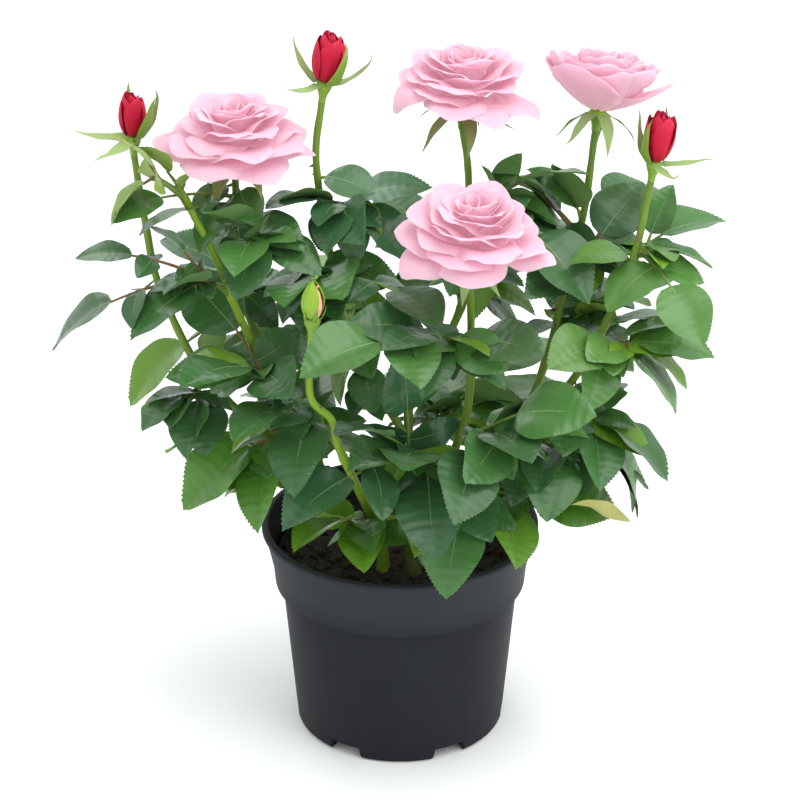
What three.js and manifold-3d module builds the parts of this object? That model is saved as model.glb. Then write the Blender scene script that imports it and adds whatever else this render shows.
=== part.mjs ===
// Miniature rose bush in its black nursery pot.
// Millimetres, +Z up. The origin is the middle of the pot's flat underside.

import * as THREE from 'three';
import { mergeVertices } from 'three/addons/utils/BufferGeometryUtils.js';
import Module from 'manifold-3d';

const wasm = await Module();
wasm.setup();

// Clear gap left between pieces that touch on the real plant
const GAP = 0.3;

// Pot
const POT_HEIGHT = 103.3;
const RIM_RADIUS = 65;
const LIP_HEIGHT = 2.6;
const LIP_STEP = 1.3;
const COLLAR_DEPTH = 26;
const COLLAR_RADIUS = 58.6;
const BODY_TOP_RADIUS = 56;
const BASE_RADIUS = 49.4;
const POT_WALL = 1.6;
const FLOOR_HEIGHT = 6;
const FOOT_WIDTH = 6;
const PAD_RADIUS = 18;
const NOTCH_COUNT = 6;
const NOTCH_WIDTH = 17.5;
const NOTCH_FIRST = -121.7;
const POT_SIDES = 32;

// Compost inside the pot
const SOIL_TOP = 88;

// Stems and canes
const STEM_FOOT_RADIUS = 3.4;
const STEM_TIP_RADIUS = 2.6;
const CANE_FOOT_RADIUS = 2.4;
const CANE_TIP_RADIUS = 1.9;
const FOOT_RISE = 14;
const LIMB_SIDES = 5;
const LIMB_STEPS = 7;

// Leaves
const LEAFLET_LONGEST = 43;
const LEAFLET_SHARE = 0.82;
const LEAFLET_THICKNESS = 0.024;
const LEAFLET_EDGE = [[0, 0], [0.27, 0.36], [0.66, 0.3], [1, 0], [0.66, -0.3], [0.27, -0.36]];
const LEAFLET_MIDDLE = 0.27;
const LEAFLET_FOLD = 0.07;
const LEAFLET_DROOP = 0.1;
const SIDE_LEAFLET_SIZES = [0.84, 0.72, 0.6];
const SIDE_LEAFLET_ANGLE = 74;
const SHORT_STALK_TURN = 14;
const SHORT_STALK_SIZE = 0.82;
const PAIR_FIRST = 0.38;
const PAIR_STEP = 0.54;
const PAIR_STAGGER = 0.9;
const PAIR_STALK = 5;
const SHORTEST_STALK = 2;
const STALK_SHARE = 0.7;
const SKYWARD_LEAN = 0.45;
const RACHIS_RADIUS = 1.0;
const SHOOT_RADIUS = 1.5;
const ROOT_SUNK = 0.5;
const TIP_SUNK = 1.2;
const LEAF_CLEARANCE = 0.7;
const LEAF_TRIES = 9;
const LEAF_SPACE = 125;
const LEAF_LOWEST = 99;
const RULED_LOWEST = 116;
const LEAF_ARCH = 0.16;
const LEAF_PLACES = 0.28;
const TRY_NUDGE = 5;
const SHOOT_BOW = 0.15;
const GOLDEN_ANGLE = 137.5;
const RULED_PLACES = [0.95, 0.25];
const RULED_SPREAD = 0.55;
const RULED_LIFT = [-34, 28];
const RULED_REACH = [54, 80];
const SEED = 20;

// Flowers. A bloom has three rings of petals, the outermost first.
const HIP_HEIGHT = 8;
const HIP_RADIUS = 4.6;
const BUD_HIP_RADIUS = 3.9;
const SEAT_GAP = 0.9;
const PETALS_IN_RING = [5, 5, 4];
const RING_SIZES = [1, 0.84, 0.64];
const RING_FEET = [2, 3.5, 5];
const RING_BEGINS = [48, 34, 22];
const RING_REFLEX = [1.3, 0.7, 0.2];
const RING_TWIST = 0.4;
const PETAL_OVERLAP = 1.05;
const PETAL_CUP = 18;
const PETAL_FOOT_WIDTH = 0.35;
const PETAL_THICKNESS = 1.3;
const PETAL_STEPS = 8;
const HEART_HEIGHT = 0.66;
const HEART_RADIUS = 0.32;
const HEART_SIDES = 8;
const BUD_SIDES = 9;
const HIP_SIDES = 6;
const SEPAL_COUNT = 5;
const SEPAL_FOOT_RADIUS = 1.56;
const SEPAL_TIP_RADIUS = 0.35;
const SEPAL_FOOT_DEPTH = 1.7;

const RAD = Math.PI / 180;
const UP = new THREE.Vector3(0, 0, 1);
const BACK = new THREE.Vector3(0, 1, 0);

// The basal stems: foot on the compost, and tip where the canes fork off
const STEMS = {
  stem_left: { foot: [-20, -6], tip: [-50, -10, 152] },
  stem_centre: { foot: [4, 14], tip: [4, 22, 150] },
  stem_right: { foot: [24, -4], tip: [58, -10, 152] },
  stem_front: { foot: [6, -22], tip: [20, -36, 146] },
};

// The canes: the stem each one leaves, how far up it, and the places it passes to its tip.
// One rises from the compost by itself.
const CANES = {
  cane_bud_left: { on: 'stem_left', at: 0.72,
    by: [[-84, -8, 175], [-106, -10, 222], [-113, -5, 256], [-117, 0, 285]] },
  cane_young_left: { on: 'stem_left', at: 0.86,
    by: [[-58, -20, 182], [-73, -25, 224], [-80, -25, 245], [-96, -25, 280]] },
  cane_bloom_left: { on: 'stem_left', at: 1,
    by: [[-62, -4, 190], [-70, -4, 218], [-72, -8, 255], [-72, -10, 279]] },
  cane_bud_top: { on: 'stem_centre', at: 0.75,
    by: [[-22, 10, 190], [-32, 5, 240], [-37, 1, 282], [-34, 0, 310]] },
  cane_bloom_top: { on: 'stem_centre', at: 1,
    by: [[22, 26, 185], [31, 25, 215], [31, 28, 264], [28, 30, 287]] },
  cane_bloom_front: { on: 'stem_front', at: 1,
    by: [[29, -42, 176], [31, -46, 204], [30, -54, 249]] },
  cane_bud_front: { foot: [-8, -20],
    by: [[-12, -26, 116], [-27, -48, 165], [-30, -55, 182], [-39, -58, 195], [-38, -60, 224]] },
  cane_bloom_right: { on: 'stem_right', at: 0.8,
    by: [[68, 8, 185], [78, 25, 225], [84, 28, 248], [88, 30, 286]] },
  cane_bud_right: { on: 'stem_right', at: 1,
    by: [[80, -22, 190], [94, -20, 219], [104, -15, 246], [110, -10, 277]] },
};

// The blooms: the way each one leans, the length of its outer petals, how steeply each ring
// of petals stands, from lying open at 0 to upright at 90, and how far their tips roll back,
// or below 0, how far they close up
const BLOOMS = {
  bloom_left: { cane: 'cane_bloom_left', lean: [-0.02, -0.12],
    radius: 34, opening: [-20, 12, 46], reflex: 12 },
  bloom_top: { cane: 'cane_bloom_top', lean: [0.02, -0.04],
    radius: 33, opening: [2, 30, 60], reflex: 38 },
  bloom_front: { cane: 'cane_bloom_front', lean: [0.04, -0.16],
    radius: 34, opening: [4, 28, 56], reflex: 30 },
  bloom_right: { cane: 'cane_bloom_right', lean: [0.12, 0.16],
    radius: 33, opening: [-14, 12, 46], reflex: -56 },
};
const BUDS = {
  bud_left: { cane: 'cane_bud_left', lean: [0.0, -0.1], radius: 5.6, height: 19 },
  bud_top: { cane: 'cane_bud_top', lean: [0.16, -0.05], radius: 8, height: 21 },
  bud_right: { cane: 'cane_bud_right', lean: [0.12, -0.05], radius: 6.2, height: 21 },
  bud_front: { cane: 'cane_bud_front', lean: [0.06, -0.02], radius: 5.6, height: 17 },
};

// Each calyx: how high its sepals stand, how far they bend up again, and their length
const CALYXES = {
  calyx_left: { under: 'bloom_left', rise: -50, bend: -30, length: 22, turn: 20 },
  calyx_top: { under: 'bloom_top', rise: -18, bend: -40, length: 27, turn: 0 },
  calyx_front: { under: 'bloom_front', rise: -35, bend: -25, length: 20, turn: 40 },
  calyx_right: { under: 'bloom_right', rise: -40, bend: -25, length: 24, turn: 10 },
  calyx_bud_left: { under: 'bud_left', rise: 34, bend: 24, length: 26, turn: 30 },
  calyx_bud_top: { under: 'bud_top', rise: 14, bend: 34, length: 28, turn: 10 },
  calyx_bud_right: { under: 'bud_right', rise: 18, bend: 20, length: 26, turn: 0 },
  calyx_bud_front: { under: 'bud_front', rise: 60, bend: 20, length: 8, turn: 0 },
};

// The masses of foliage: the limb each shoot leaves and how far up, the shoot's end,
// the tips of the leaves that show, and how many more leaves the shoot bears by the rule
const MASSES = {
  leaves_left_spray: { on: 'cane_young_left', at: 0.62, end: [-86, -32, 240], more: 0,
    tips: [[-165, -28, 202], [-122, -54, 218], [-104, -58, 246]] },
  leaves_left_top: { on: 'cane_young_left', at: 0.95, end: [-106, -32, 286], more: 0,
    tips: [[-130, -40, 264], [-113, -28, 306], [-86, -36, 300]] },
  leaves_left_upper: { on: 'cane_bloom_left', at: 0.72, end: [-60, -22, 254], more: 2,
    tips: [[-68, -58, 228], [-28, -40, 244], [-90, -46, 262]] },
  leaves_left_middle: { on: 'cane_young_left', at: 0.3, end: [-62, -42, 198], more: 1,
    tips: [[-114, -40, 198], [-97, -74, 212], [-62, -92, 200]] },
  leaves_left_side: { on: 'cane_bud_left', at: 0.3, end: [-98, -18, 176], more: 1,
    tips: [[-124, -6, 158], [-84, -52, 160], [-136, -20, 186]] },
  leaves_left_lower: { on: 'stem_left', at: 0.7, end: [-62, -24, 156], more: 1,
    tips: [[-104, -40, 128], [-68, -62, 124], [-92, -26, 140]] },
  leaves_front_left: { on: 'cane_bud_front', at: 0.52, end: [-44, -40, 184], more: 1,
    tips: [[-78, -80, 184], [-50, -90, 160]] },
  leaves_rim_left: { on: 'cane_bud_front', at: 0.12, end: [-18, -36, 122], more: 0,
    tips: [[-55, -75, 127], [-17, -74, 116]] },
  leaves_rim_front: { on: 'stem_front', at: 0.6, end: [28, -42, 136], more: 0,
    tips: [[18, -86, 101], [4, -76, 111], [52, -72, 130]] },
  leaves_front_middle: { on: 'stem_front', at: 0.9, end: [4, -46, 162], more: 2,
    tips: [[1, -66, 222], [-2, -90, 178], [-30, -84, 194]] },
  leaves_front_right: { on: 'cane_bloom_front', at: 0.22, end: [44, -54, 172], more: 1,
    tips: [[28, -98, 172], [58, -98, 184], [84, -80, 200]] },
  leaves_front_upper: { on: 'cane_bloom_front', at: 0.6, end: [18, -56, 222], more: 1,
    tips: [[10, -92, 208], [-28, -70, 236], [56, -84, 224]] },
  leaves_centre_left: { on: 'cane_bud_top', at: 0.5, end: [-40, -14, 234], more: 2,
    tips: [[-50, -58, 238], [-6, -50, 252], [10, -66, 226]] },
  leaves_centre_top: { on: 'cane_bud_top', at: 0.72, end: [-24, -8, 264], more: 1,
    tips: [[16, -8, 279], [-12, -38, 262], [-62, -22, 272]] },
  leaves_middle_top: { on: 'cane_bloom_top', at: 0.72, end: [42, 16, 256], more: 1,
    tips: [[54, 22, 280], [86, 2, 284], [52, -26, 258]] },
  leaves_right_top: { on: 'cane_bud_right', at: 0.7, end: [110, -4, 244], more: 1,
    tips: [[124, 8, 274], [142, -18, 240], [86, -34, 262]] },
  leaves_right_spray: { on: 'cane_bud_right', at: 0.42, end: [100, -34, 208], more: 1,
    tips: [[140, -44, 212], [130, -60, 182], [68, -66, 216]] },
  leaves_right_side: { on: 'cane_bud_right', at: 0.12, end: [86, -26, 168], more: 1,
    tips: [[90, -64, 146], [118, -34, 112], [126, -44, 150]] },
  leaves_right_front: { on: 'stem_right', at: 0.8, end: [66, -32, 158], more: 1,
    tips: [[66, -76, 140], [80, -72, 176]] },
  leaves_rim_right: { on: 'stem_right', at: 0.42, end: [48, -26, 130], more: 1,
    tips: [[106, -44, 128], [54, -72, 114]] },
  leaves_right_upper: { on: 'cane_bloom_right', at: 0.6, end: [86, 12, 232], more: 2,
    tips: [[112, 34, 262], [62, -30, 244]] },
  leaves_back_right: { on: 'cane_bloom_right', at: 0.3, end: [84, 38, 194], more: 3, tips: [[124, 68, 188]] },
  leaves_back_middle: { on: 'cane_bloom_top', at: 0.4, end: [24, 46, 212], more: 3, tips: [[30, 118, 210]] },
  leaves_back_left: { on: 'cane_bloom_left', at: 0.4, end: [-66, 18, 212], more: 3, tips: [[-100, 78, 202]] },
  leaves_back_centre: { on: 'cane_bud_top', at: 0.3, end: [-24, 32, 192], more: 3, tips: [[-34, 104, 180]] },
  leaves_back_low_left: { on: 'stem_left', at: 0.6, end: [-44, 20, 146], more: 3, tips: [[-80, 76, 138]] },
  leaves_back_low_right: { on: 'stem_centre', at: 0.7, end: [28, 42, 142], more: 3, tips: [[68, 88, 132]] },
};

// Colours and finishes
const MATERIALS = {
  pot: { color: 0x2a2b2e, roughness: 0.55, metalness: 0 },
  compost: { color: 0x2b211a, roughness: 0.95, metalness: 0 },
  stem: { color: 0x5c7a2a, roughness: 0.5, metalness: 0 },
  leaf: { color: 0x2f5a34, roughness: 0.45, metalness: 0 },
  petal: { color: 0xf2a9c0, roughness: 0.6, metalness: 0 },
  bud: { color: 0xc01e3c, roughness: 0.5, metalness: 0 },
  calyx: { color: 0x6d9440, roughness: 0.5, metalness: 0 },
};

const vector = ([x, y, z]) => new THREE.Vector3(x, y, z);

function between([lowest, highest], share) {
  return lowest + (highest - lowest) * share;
}

// A closed mesh with its shared corners joined, as a solid
function solidOf(geometry) {
  const bare = geometry.clone();
  bare.deleteAttribute('normal');
  bare.deleteAttribute('uv');
  const joined = mergeVertices(bare, 1e-4);
  return new wasm.Manifold(new wasm.Mesh({
    numProp: 3,
    vertProperties: Float32Array.from(joined.attributes.position.array),
    triVerts: Uint32Array.from(joined.index.array),
  }));
}

function geometryOf(solid) {
  const mesh = solid.getMesh();
  const geometry = new THREE.BufferGeometry();
  geometry.setAttribute('position', new THREE.BufferAttribute(Float32Array.from(mesh.vertProperties), 3));
  geometry.setIndex(new THREE.BufferAttribute(Uint32Array.from(mesh.triVerts), 1));
  geometry.computeVertexNormals();
  return geometry;
}

function fuse(solids) {
  return solids.reduce((whole, piece) => whole.add(piece));
}

// The largest body of a solid: loose scraps go, a sealed hollow is filled, and edges that are
// shorter than a tenth of the gap are closed up
function mainBody(solid) {
  const bodies = solid.decompose();
  bodies.sort((a, b) => b.volume() - a.volume());
  return bodies[0].simplify(GAP / 10);
}

function part(name, solid, material) {
  const mesh = new THREE.Mesh(geometryOf(solid), new THREE.MeshStandardMaterial(MATERIALS[material]));
  mesh.name = name;
  return mesh;
}

// Repeatable random numbers from 0 to 1
function randomFrom(seed) {
  let state = seed >>> 0;
  return () => {
    state = (state + 0x6d2b79f5) >>> 0;
    let value = state;
    value = Math.imul(value ^ (value >>> 15), value | 1);
    value ^= value + Math.imul(value ^ (value >>> 7), value | 61);
    return ((value ^ (value >>> 14)) >>> 0) / 4294967296;
  };
}

function moveVertices(geometry, place) {
  const position = geometry.attributes.position;
  const vertex = new THREE.Vector3();
  for (let i = 0; i < position.count; i += 1) {
    vertex.fromBufferAttribute(position, i);
    const moved = place(vertex);
    position.setXYZ(i, moved.x, moved.y, moved.z);
  }
  return geometry;
}

// A tapering round limb along a curve, closed at both ends, which it can stand past a little
function limb({ curve, footRadius, tipRadius }, sides, steps, beyond = 0) {
  const geometry = new THREE.CylinderGeometry(tipRadius + beyond, footRadius + beyond, 1, sides, steps);
  return moveVertices(geometry, (vertex) => {
    const share = vertex.y + 0.5;
    const tangent = curve.getTangentAt(share);
    const across = squareTo(BACK, tangent);
    const binormal = new THREE.Vector3().crossVectors(tangent, across);
    const isEnd = share === 0 || share === 1;
    return curve.getPointAt(share)
      .addScaledVector(tangent, isEnd ? beyond * Math.sign(vertex.y) : 0)
      .addScaledVector(across, vertex.x)
      .addScaledVector(binormal, -vertex.z);
  });
}

// The part of a direction that is square to another, made one long
function squareTo(direction, along) {
  return direction.clone().addScaledVector(along, -direction.dot(along)).normalize();
}

// A bar with three sides through rings. Each ring has a middle, the way along and the way up
// there, half its width, how high its two upper corners lie and how deep its keel hangs.
function threeSided(rings) {
  const geometry = new THREE.CylinderGeometry(1, 1, 1, 3, rings.length - 1);
  return moveVertices(geometry, (vertex) => {
    const step = Math.round((vertex.y + 0.5) * (rings.length - 1));
    const { middle, along, up, halfWidth, height, depth } = rings[step];
    const across = new THREE.Vector3().crossVectors(up, along);
    const isCorner = Math.hypot(vertex.x, vertex.z) > 0.5;
    const side = isCorner ? Math.round(vertex.x * 2) / 2 : 0;
    const lift = isCorner ? (side === 0 ? -depth : height) : (2 * height - depth) / 3;
    return middle.clone().addScaledVector(across, Math.sign(side) * halfWidth).addScaledVector(up, lift);
  });
}

function roundRing(middle, along, up, radius) {
  return { middle, along, up, halfWidth: radius * 0.87, height: radius * 0.5, depth: radius };
}

// Pot: shell with collar and lip, floor raised between a foot ring and a middle pad
function makePot() {
  const lipBottom = POT_HEIGHT - LIP_HEIGHT;
  const collarBottom = POT_HEIGHT - COLLAR_DEPTH;
  const collarTop = RIM_RADIUS - LIP_STEP;
  const profile = [
    [0, 0],
    [PAD_RADIUS, 0],
    [PAD_RADIUS + 2, FLOOR_HEIGHT],
    [BASE_RADIUS - FOOT_WIDTH, FLOOR_HEIGHT],
    [BASE_RADIUS - FOOT_WIDTH + 1, 0],
    [BASE_RADIUS - 1.5, 0],
    [BASE_RADIUS, 1.5],
    [BODY_TOP_RADIUS, collarBottom - 1.5],
    [COLLAR_RADIUS, collarBottom],
    [collarTop, lipBottom],
    [RIM_RADIUS, lipBottom],
    [RIM_RADIUS, POT_HEIGHT - 0.8],
    [RIM_RADIUS - 0.8, POT_HEIGHT],
    [collarTop - POT_WALL, POT_HEIGHT],
    [COLLAR_RADIUS - POT_WALL, collarBottom],
    [BODY_TOP_RADIUS - POT_WALL, collarBottom - 1.5],
    [BASE_RADIUS - POT_WALL - 0.5, FLOOR_HEIGHT + POT_WALL],
    [0, FLOOR_HEIGHT + POT_WALL],
  ].map(([radius, height]) => new THREE.Vector2(radius, height));
  const shell = new THREE.LatheGeometry(profile, POT_SIDES).rotateX(Math.PI / 2);
  let pot = solidOf(shell);
  for (let i = 0; i < NOTCH_COUNT; i += 1) {
    const notch = new THREE.BoxGeometry(FOOT_WIDTH * 3, NOTCH_WIDTH, FLOOR_HEIGHT * 2);
    moveVertices(notch, (v) => new THREE.Vector3(v.x, v.z > 0 ? v.y * 0.86 : v.y * 1.1, v.z));
    notch.translate(BASE_RADIUS, 0, 0);
    notch.rotateZ((NOTCH_FIRST + (360 / NOTCH_COUNT) * i) * RAD);
    pot = pot.subtract(solidOf(notch));
  }
  return mainBody(pot);
}

// Compost: fills the pot to a flat top
function makeCompost() {
  const floor = FLOOR_HEIGHT + POT_WALL + GAP;
  const collarBottom = POT_HEIGHT - COLLAR_DEPTH;
  const collarSlope = (RIM_RADIUS - LIP_STEP - COLLAR_RADIUS) / (COLLAR_DEPTH - LIP_HEIGHT);
  const inset = POT_WALL + GAP * 1.5;
  const topRadius = COLLAR_RADIUS + (SOIL_TOP - collarBottom) * collarSlope;
  const profile = [
    [0, floor],
    [BASE_RADIUS - inset - 0.5, floor],
    [BODY_TOP_RADIUS - inset, collarBottom - 1.2],
    [COLLAR_RADIUS - inset, collarBottom + 0.4],
    [topRadius - inset, SOIL_TOP],
    [0, SOIL_TOP],
  ].map(([radius, height]) => new THREE.Vector2(radius, height));
  return solidOf(new THREE.LatheGeometry(profile, POT_SIDES).rotateX(Math.PI / 2));
}

// The routes of stems and canes, as smooth curves with their radii
function rootedPath(foot, rest, footRadius, tipRadius) {
  const ground = new THREE.Vector3(foot[0], foot[1], SOIL_TOP + GAP);
  const above = ground.clone().addScaledVector(UP, FOOT_RISE);
  const curve = new THREE.CatmullRomCurve3([ground, above, ...rest.map(vector)], false, 'catmullrom', 0.5);
  return { curve, footRadius, tipRadius };
}

function branchPath(parent, at, rest, footRadius, tipRadius) {
  const start = parent.curve.getPointAt(at);
  const curve = new THREE.CatmullRomCurve3([start, ...rest.map(vector)], false, 'catmullrom', 0.5);
  return { curve, footRadius, tipRadius };
}

function limbPaths() {
  const paths = {};
  for (const [name, { foot, tip }] of Object.entries(STEMS)) {
    paths[name] = rootedPath(foot, [tip], STEM_FOOT_RADIUS, STEM_TIP_RADIUS);
  }
  for (const [name, { foot, on, at, by }] of Object.entries(CANES)) {
    paths[name] = foot
      ? rootedPath(foot, by, STEM_TIP_RADIUS, CANE_TIP_RADIUS)
      : branchPath(paths[on], at, by, CANE_FOOT_RADIUS, CANE_TIP_RADIUS);
  }
  return paths;
}

function limbSolid(path, beyond = 0) {
  return solidOf(limb(path, LIMB_SIDES, LIMB_STEPS, beyond));
}

// A cane starts inside the stem it leaves. It is cut back clear of every limb that it crosses.
function makeLimbs(paths) {
  const solids = {};
  for (const [name, path] of Object.entries(paths)) {
    let solid = limbSolid(path);
    for (const earlier of Object.keys(solids)) {
      if (solid.intersect(solids[earlier]).volume() > 0) {
        solid = solid.subtract(limbSolid(paths[earlier], GAP));
      }
    }
    solids[name] = mainBody(solid);
  }
  return solids;
}

// One leaflet as a thin closed blade of 12 faces: six corners round its edge, and the
// middle of its upper and lower sides. It starts at root and points along.

// How a leaflet arches: the height of its middle line, in shares of its length
function leafletSag(share) {
  return LEAFLET_DROOP * share * (2 - 3 * share);
}

function leafletCorners(leaflet) {
  const across = new THREE.Vector3().crossVectors(leaflet.along, leaflet.face);
  const place = (share, side, lift) => leaflet.root.clone()
    .addScaledVector(leaflet.along, share * leaflet.length)
    .addScaledVector(across, side * leaflet.length)
    .addScaledVector(leaflet.face, lift * leaflet.length);
  const edge = LEAFLET_EDGE.map(([share, side]) => (
    place(share, side, leafletSag(share) + LEAFLET_FOLD * Math.abs(side))));
  const half = LEAFLET_THICKNESS / 2;
  const top = place(LEAFLET_MIDDLE, 0, leafletSag(LEAFLET_MIDDLE) + half);
  const bottom = place(LEAFLET_MIDDLE, 0, leafletSag(LEAFLET_MIDDLE) - half);
  return { edge, top, bottom };
}

function leafletGeometry(leaflet) {
  const { edge, top, bottom } = leafletCorners(leaflet);
  const blade = new THREE.SphereGeometry(1, edge.length, 2);
  return moveVertices(blade, (vertex) => {
    if (vertex.y > 0.5) return top;
    if (vertex.y < -0.5) return bottom;
    const turn = Math.atan2(vertex.z, -vertex.x) / (2 * Math.PI);
    return edge[(Math.round(turn * edge.length) + edge.length) % edge.length];
  });
}

// Triangles of a geometry as corner triples
function trianglesOf(geometry) {
  const flat = geometry.index ? geometry.toNonIndexed() : geometry;
  const position = flat.attributes.position;
  const triangles = [];
  for (let i = 0; i < position.count; i += 3) {
    const corners = [0, 1, 2].map((k) => new THREE.Vector3().fromBufferAttribute(position, i + k));
    const area = new THREE.Triangle(...corners).getArea();
    if (area > 1e-6) triangles.push(corners);
  }
  return triangles;
}

function blockOf(geometry, owner, kind, normal = null) {
  const triangles = trianglesOf(geometry);
  const box = new THREE.Box3().setFromPoints(triangles.flat());
  box.expandByScalar(LEAF_CLEARANCE);
  return { triangles, box, owner, kind, normal };
}

// Whether the segment from a to b passes through a triangle
const edgeOne = new THREE.Vector3();
const edgeTwo = new THREE.Vector3();
const run = new THREE.Vector3();
const crossRun = new THREE.Vector3();
const offset = new THREE.Vector3();
const crossOffset = new THREE.Vector3();
function segmentHits(a, b, [p, q, r]) {
  edgeOne.subVectors(q, p);
  edgeTwo.subVectors(r, p);
  run.subVectors(b, a);
  crossRun.crossVectors(run, edgeTwo);
  const scale = edgeOne.dot(crossRun);
  if (Math.abs(scale) < 1e-9) return false;
  offset.subVectors(a, p);
  const u = offset.dot(crossRun) / scale;
  if (u < 0 || u > 1) return false;
  crossOffset.crossVectors(offset, edgeOne);
  const v = run.dot(crossOffset) / scale;
  if (v < 0 || u + v > 1) return false;
  const along = edgeTwo.dot(crossOffset) / scale;
  return along >= 0 && along <= 1;
}

function pierces(ones, others) {
  for (const one of ones) {
    for (const other of others) {
      for (let k = 0; k < 3; k += 1) {
        if (segmentHits(one[k], one[(k + 1) % 3], other)) return true;
        if (segmentHits(other[k], other[(k + 1) % 3], one)) return true;
      }
    }
  }
  return false;
}

// Whether two blocks cross, also with the first one moved a little to either side of its face
function blocksMeet(one, other) {
  if (!one.box.intersectsBox(other.box)) return false;
  const shifts = one.normal ? [0, LEAF_CLEARANCE, -LEAF_CLEARANCE] : [0];
  return shifts.some((shift) => {
    const moved = shift
      ? one.triangles.map((corners) => corners.map((c) => c.clone().addScaledVector(one.normal, shift)))
      : one.triangles;
    return pierces(moved, other.triangles);
  });
}

// Whether a place is too low, in the pot's wall, in the compost, or among a flower's petals
function isTaken(place, flowers) {
  if (place.z < LEAF_LOWEST) return true;
  const radius = Math.hypot(place.x, place.y);
  if (place.z < POT_HEIGHT + 2 && radius < RIM_RADIUS + 2 && radius > RIM_RADIUS - 7) return true;
  if (place.z < SOIL_TOP + 3 && radius < RIM_RADIUS) return true;
  return flowers.some(({ centre, across, up }) => {
    const side = Math.hypot(place.x - centre.x, place.y - centre.y) / across;
    return side * side + ((place.z - centre.z) / up) ** 2 < 1;
  });
}

// One compound leaf from a place on its shoot to its tip: an arching stalk with pairs of
// leaflets along it and one at the end
function planLeaf(start, tip, random) {
  const middle = start.clone().lerp(tip, 0.5);
  const reach = start.distanceTo(tip);
  middle.addScaledVector(UP, reach * LEAF_ARCH);
  const curve = new THREE.QuadraticBezierCurve3(start, middle, tip);
  const length = Math.min(LEAFLET_LONGEST, reach * LEAFLET_SHARE) * (0.94 + 0.12 * random());
  const stalk = Math.max(reach - length, 1);
  const outward = new THREE.Vector3(tip.x, tip.y, 0).normalize();
  const roll = (random() - 0.5) * 0.5;
  const skyward = UP.clone().addScaledVector(outward, SKYWARD_LEAN);
  const faceOf = (along) => squareTo(skyward, along).applyAxisAngle(along, roll);
  const end = stalk / reach;
  const endAlong = tip.clone().sub(curve.getPoint(end)).normalize();
  const leaflets = [{
    root: curve.getPoint(end).addScaledVector(endAlong, -TIP_SUNK),
    along: endAlong,
    face: faceOf(endAlong),
    length: length + TIP_SUNK,
  }];
  SIDE_LEAFLET_SIZES.forEach((size, pair) => {
    const isShort = stalk < PAIR_FIRST * length + PAIR_STALK;
    const back = Math.min(PAIR_FIRST * length, stalk * STALK_SHARE) + PAIR_STEP * length * pair;
    [1, -1].forEach((side) => {
      const turn = (SIDE_LEAFLET_ANGLE + (isShort ? SHORT_STALK_TURN : 0) + (random() - 0.5) * 12) * RAD;
      const drop = (4 + random() * 18) * RAD;
      const scale = size * (isShort ? SHORT_STALK_SIZE : 1) * (0.92 + 0.16 * random());
      const share = (stalk - back + side * PAIR_STAGGER) / reach;
      if (stalk - back < (pair ? PAIR_STALK : SHORTEST_STALK)) return;
      const stalkAlong = curve.getTangent(share).normalize();
      const face = faceOf(stalkAlong);
      const across = new THREE.Vector3().crossVectors(face, stalkAlong).multiplyScalar(side);
      const along = stalkAlong.clone().multiplyScalar(Math.cos(turn)).addScaledVector(across, Math.sin(turn));
      along.multiplyScalar(Math.cos(drop)).addScaledVector(face, -Math.sin(drop)).normalize();
      const root = curve.getPoint(share).addScaledVector(along, -ROOT_SUNK);
      leaflets.push({ root, along, face: squareTo(face, along), length: length * scale + ROOT_SUNK });
    });
  });
  const rachis = [0, 0.5, 1].map((share, step) => {
    const along = curve.getTangent(end * share).normalize();
    return roundRing(curve.getPoint(end * share), along, faceOf(along), RACHIS_RADIUS * (1 - 0.12 * step));
  });
  return { rachis, leaflets };
}

// The stalk of a leaf with its end leaflet, as one body
function stalkGeometry({ rachis, leaflets }) {
  const { root, along, face, length } = leaflets[0];
  const blade = [LEAFLET_EDGE[1], LEAFLET_EDGE[2], [1, 0.01]].map(([share, side]) => ({
    middle: root.clone()
      .addScaledVector(along, share * length)
      .addScaledVector(face, leafletSag(share) * length),
    along,
    up: face,
    halfWidth: side * length,
    height: LEAFLET_FOLD * side * length,
    depth: Math.max(LEAFLET_THICKNESS * length * (1.1 - share), 0.3),
  }));
  return threeSided([...rachis, ...blade]);
}

// A leaflet that crosses a limb, a flower or another leaf, or leaves its mass's space, is left off.
// The leaf itself is given up where its stalk or its end leaflet doesn't fit.
function fitLeaf(leaf, owner, centre, blocks, flowers) {
  const others = blocks.filter((block) => block.owner !== owner || block.kind === 'blade');
  const rachis = blockOf(threeSided(leaf.rachis), owner, 'rachis');
  if (others.some((block) => blocksMeet(rachis, block))) return null;
  const fitting = [];
  const blades = [];
  for (const leaflet of leaf.leaflets) {
    const { edge, top } = leafletCorners(leaflet);
    const places = [...edge, top, edge[1].clone().lerp(edge[5], 0.5), edge[2].clone().lerp(edge[4], 0.5)];
    const blade = blockOf(leafletGeometry(leaflet), owner, 'blade', leaflet.face);
    const blocked = places.some((place) => isTaken(place, flowers) || place.distanceTo(centre) > LEAF_SPACE)
      || [...others, ...blades].some((block) => blocksMeet(blade, block));
    if (blocked && fitting.length === 0) return null;
    if (!blocked) {
      fitting.push(leaflet);
      blades.push(blade);
    }
  }
  return { leaf: { ...leaf, leaflets: fitting }, blocks: [rachis, ...blades] };
}

// The tip of a leaf that the rule places: round the shoot by the golden angle, mostly outward
function ruledTip(shoot, index, random) {
  const end = shoot.curve.getPoint(1);
  const outward = Math.atan2(end.y, end.x);
  const sweep = ((index * GOLDEN_ANGLE + random() * 30) % 360) - 180;
  const heading = outward + sweep * RULED_SPREAD * RAD;
  const lift = between(RULED_LIFT, random()) * RAD;
  const reach = between(RULED_REACH, random());
  return new THREE.Vector3(
    end.x + Math.cos(heading) * Math.cos(lift) * reach,
    end.y + Math.sin(heading) * Math.cos(lift) * reach,
    Math.max(end.z + Math.sin(lift) * reach, RULED_LOWEST),
  );
}

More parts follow.
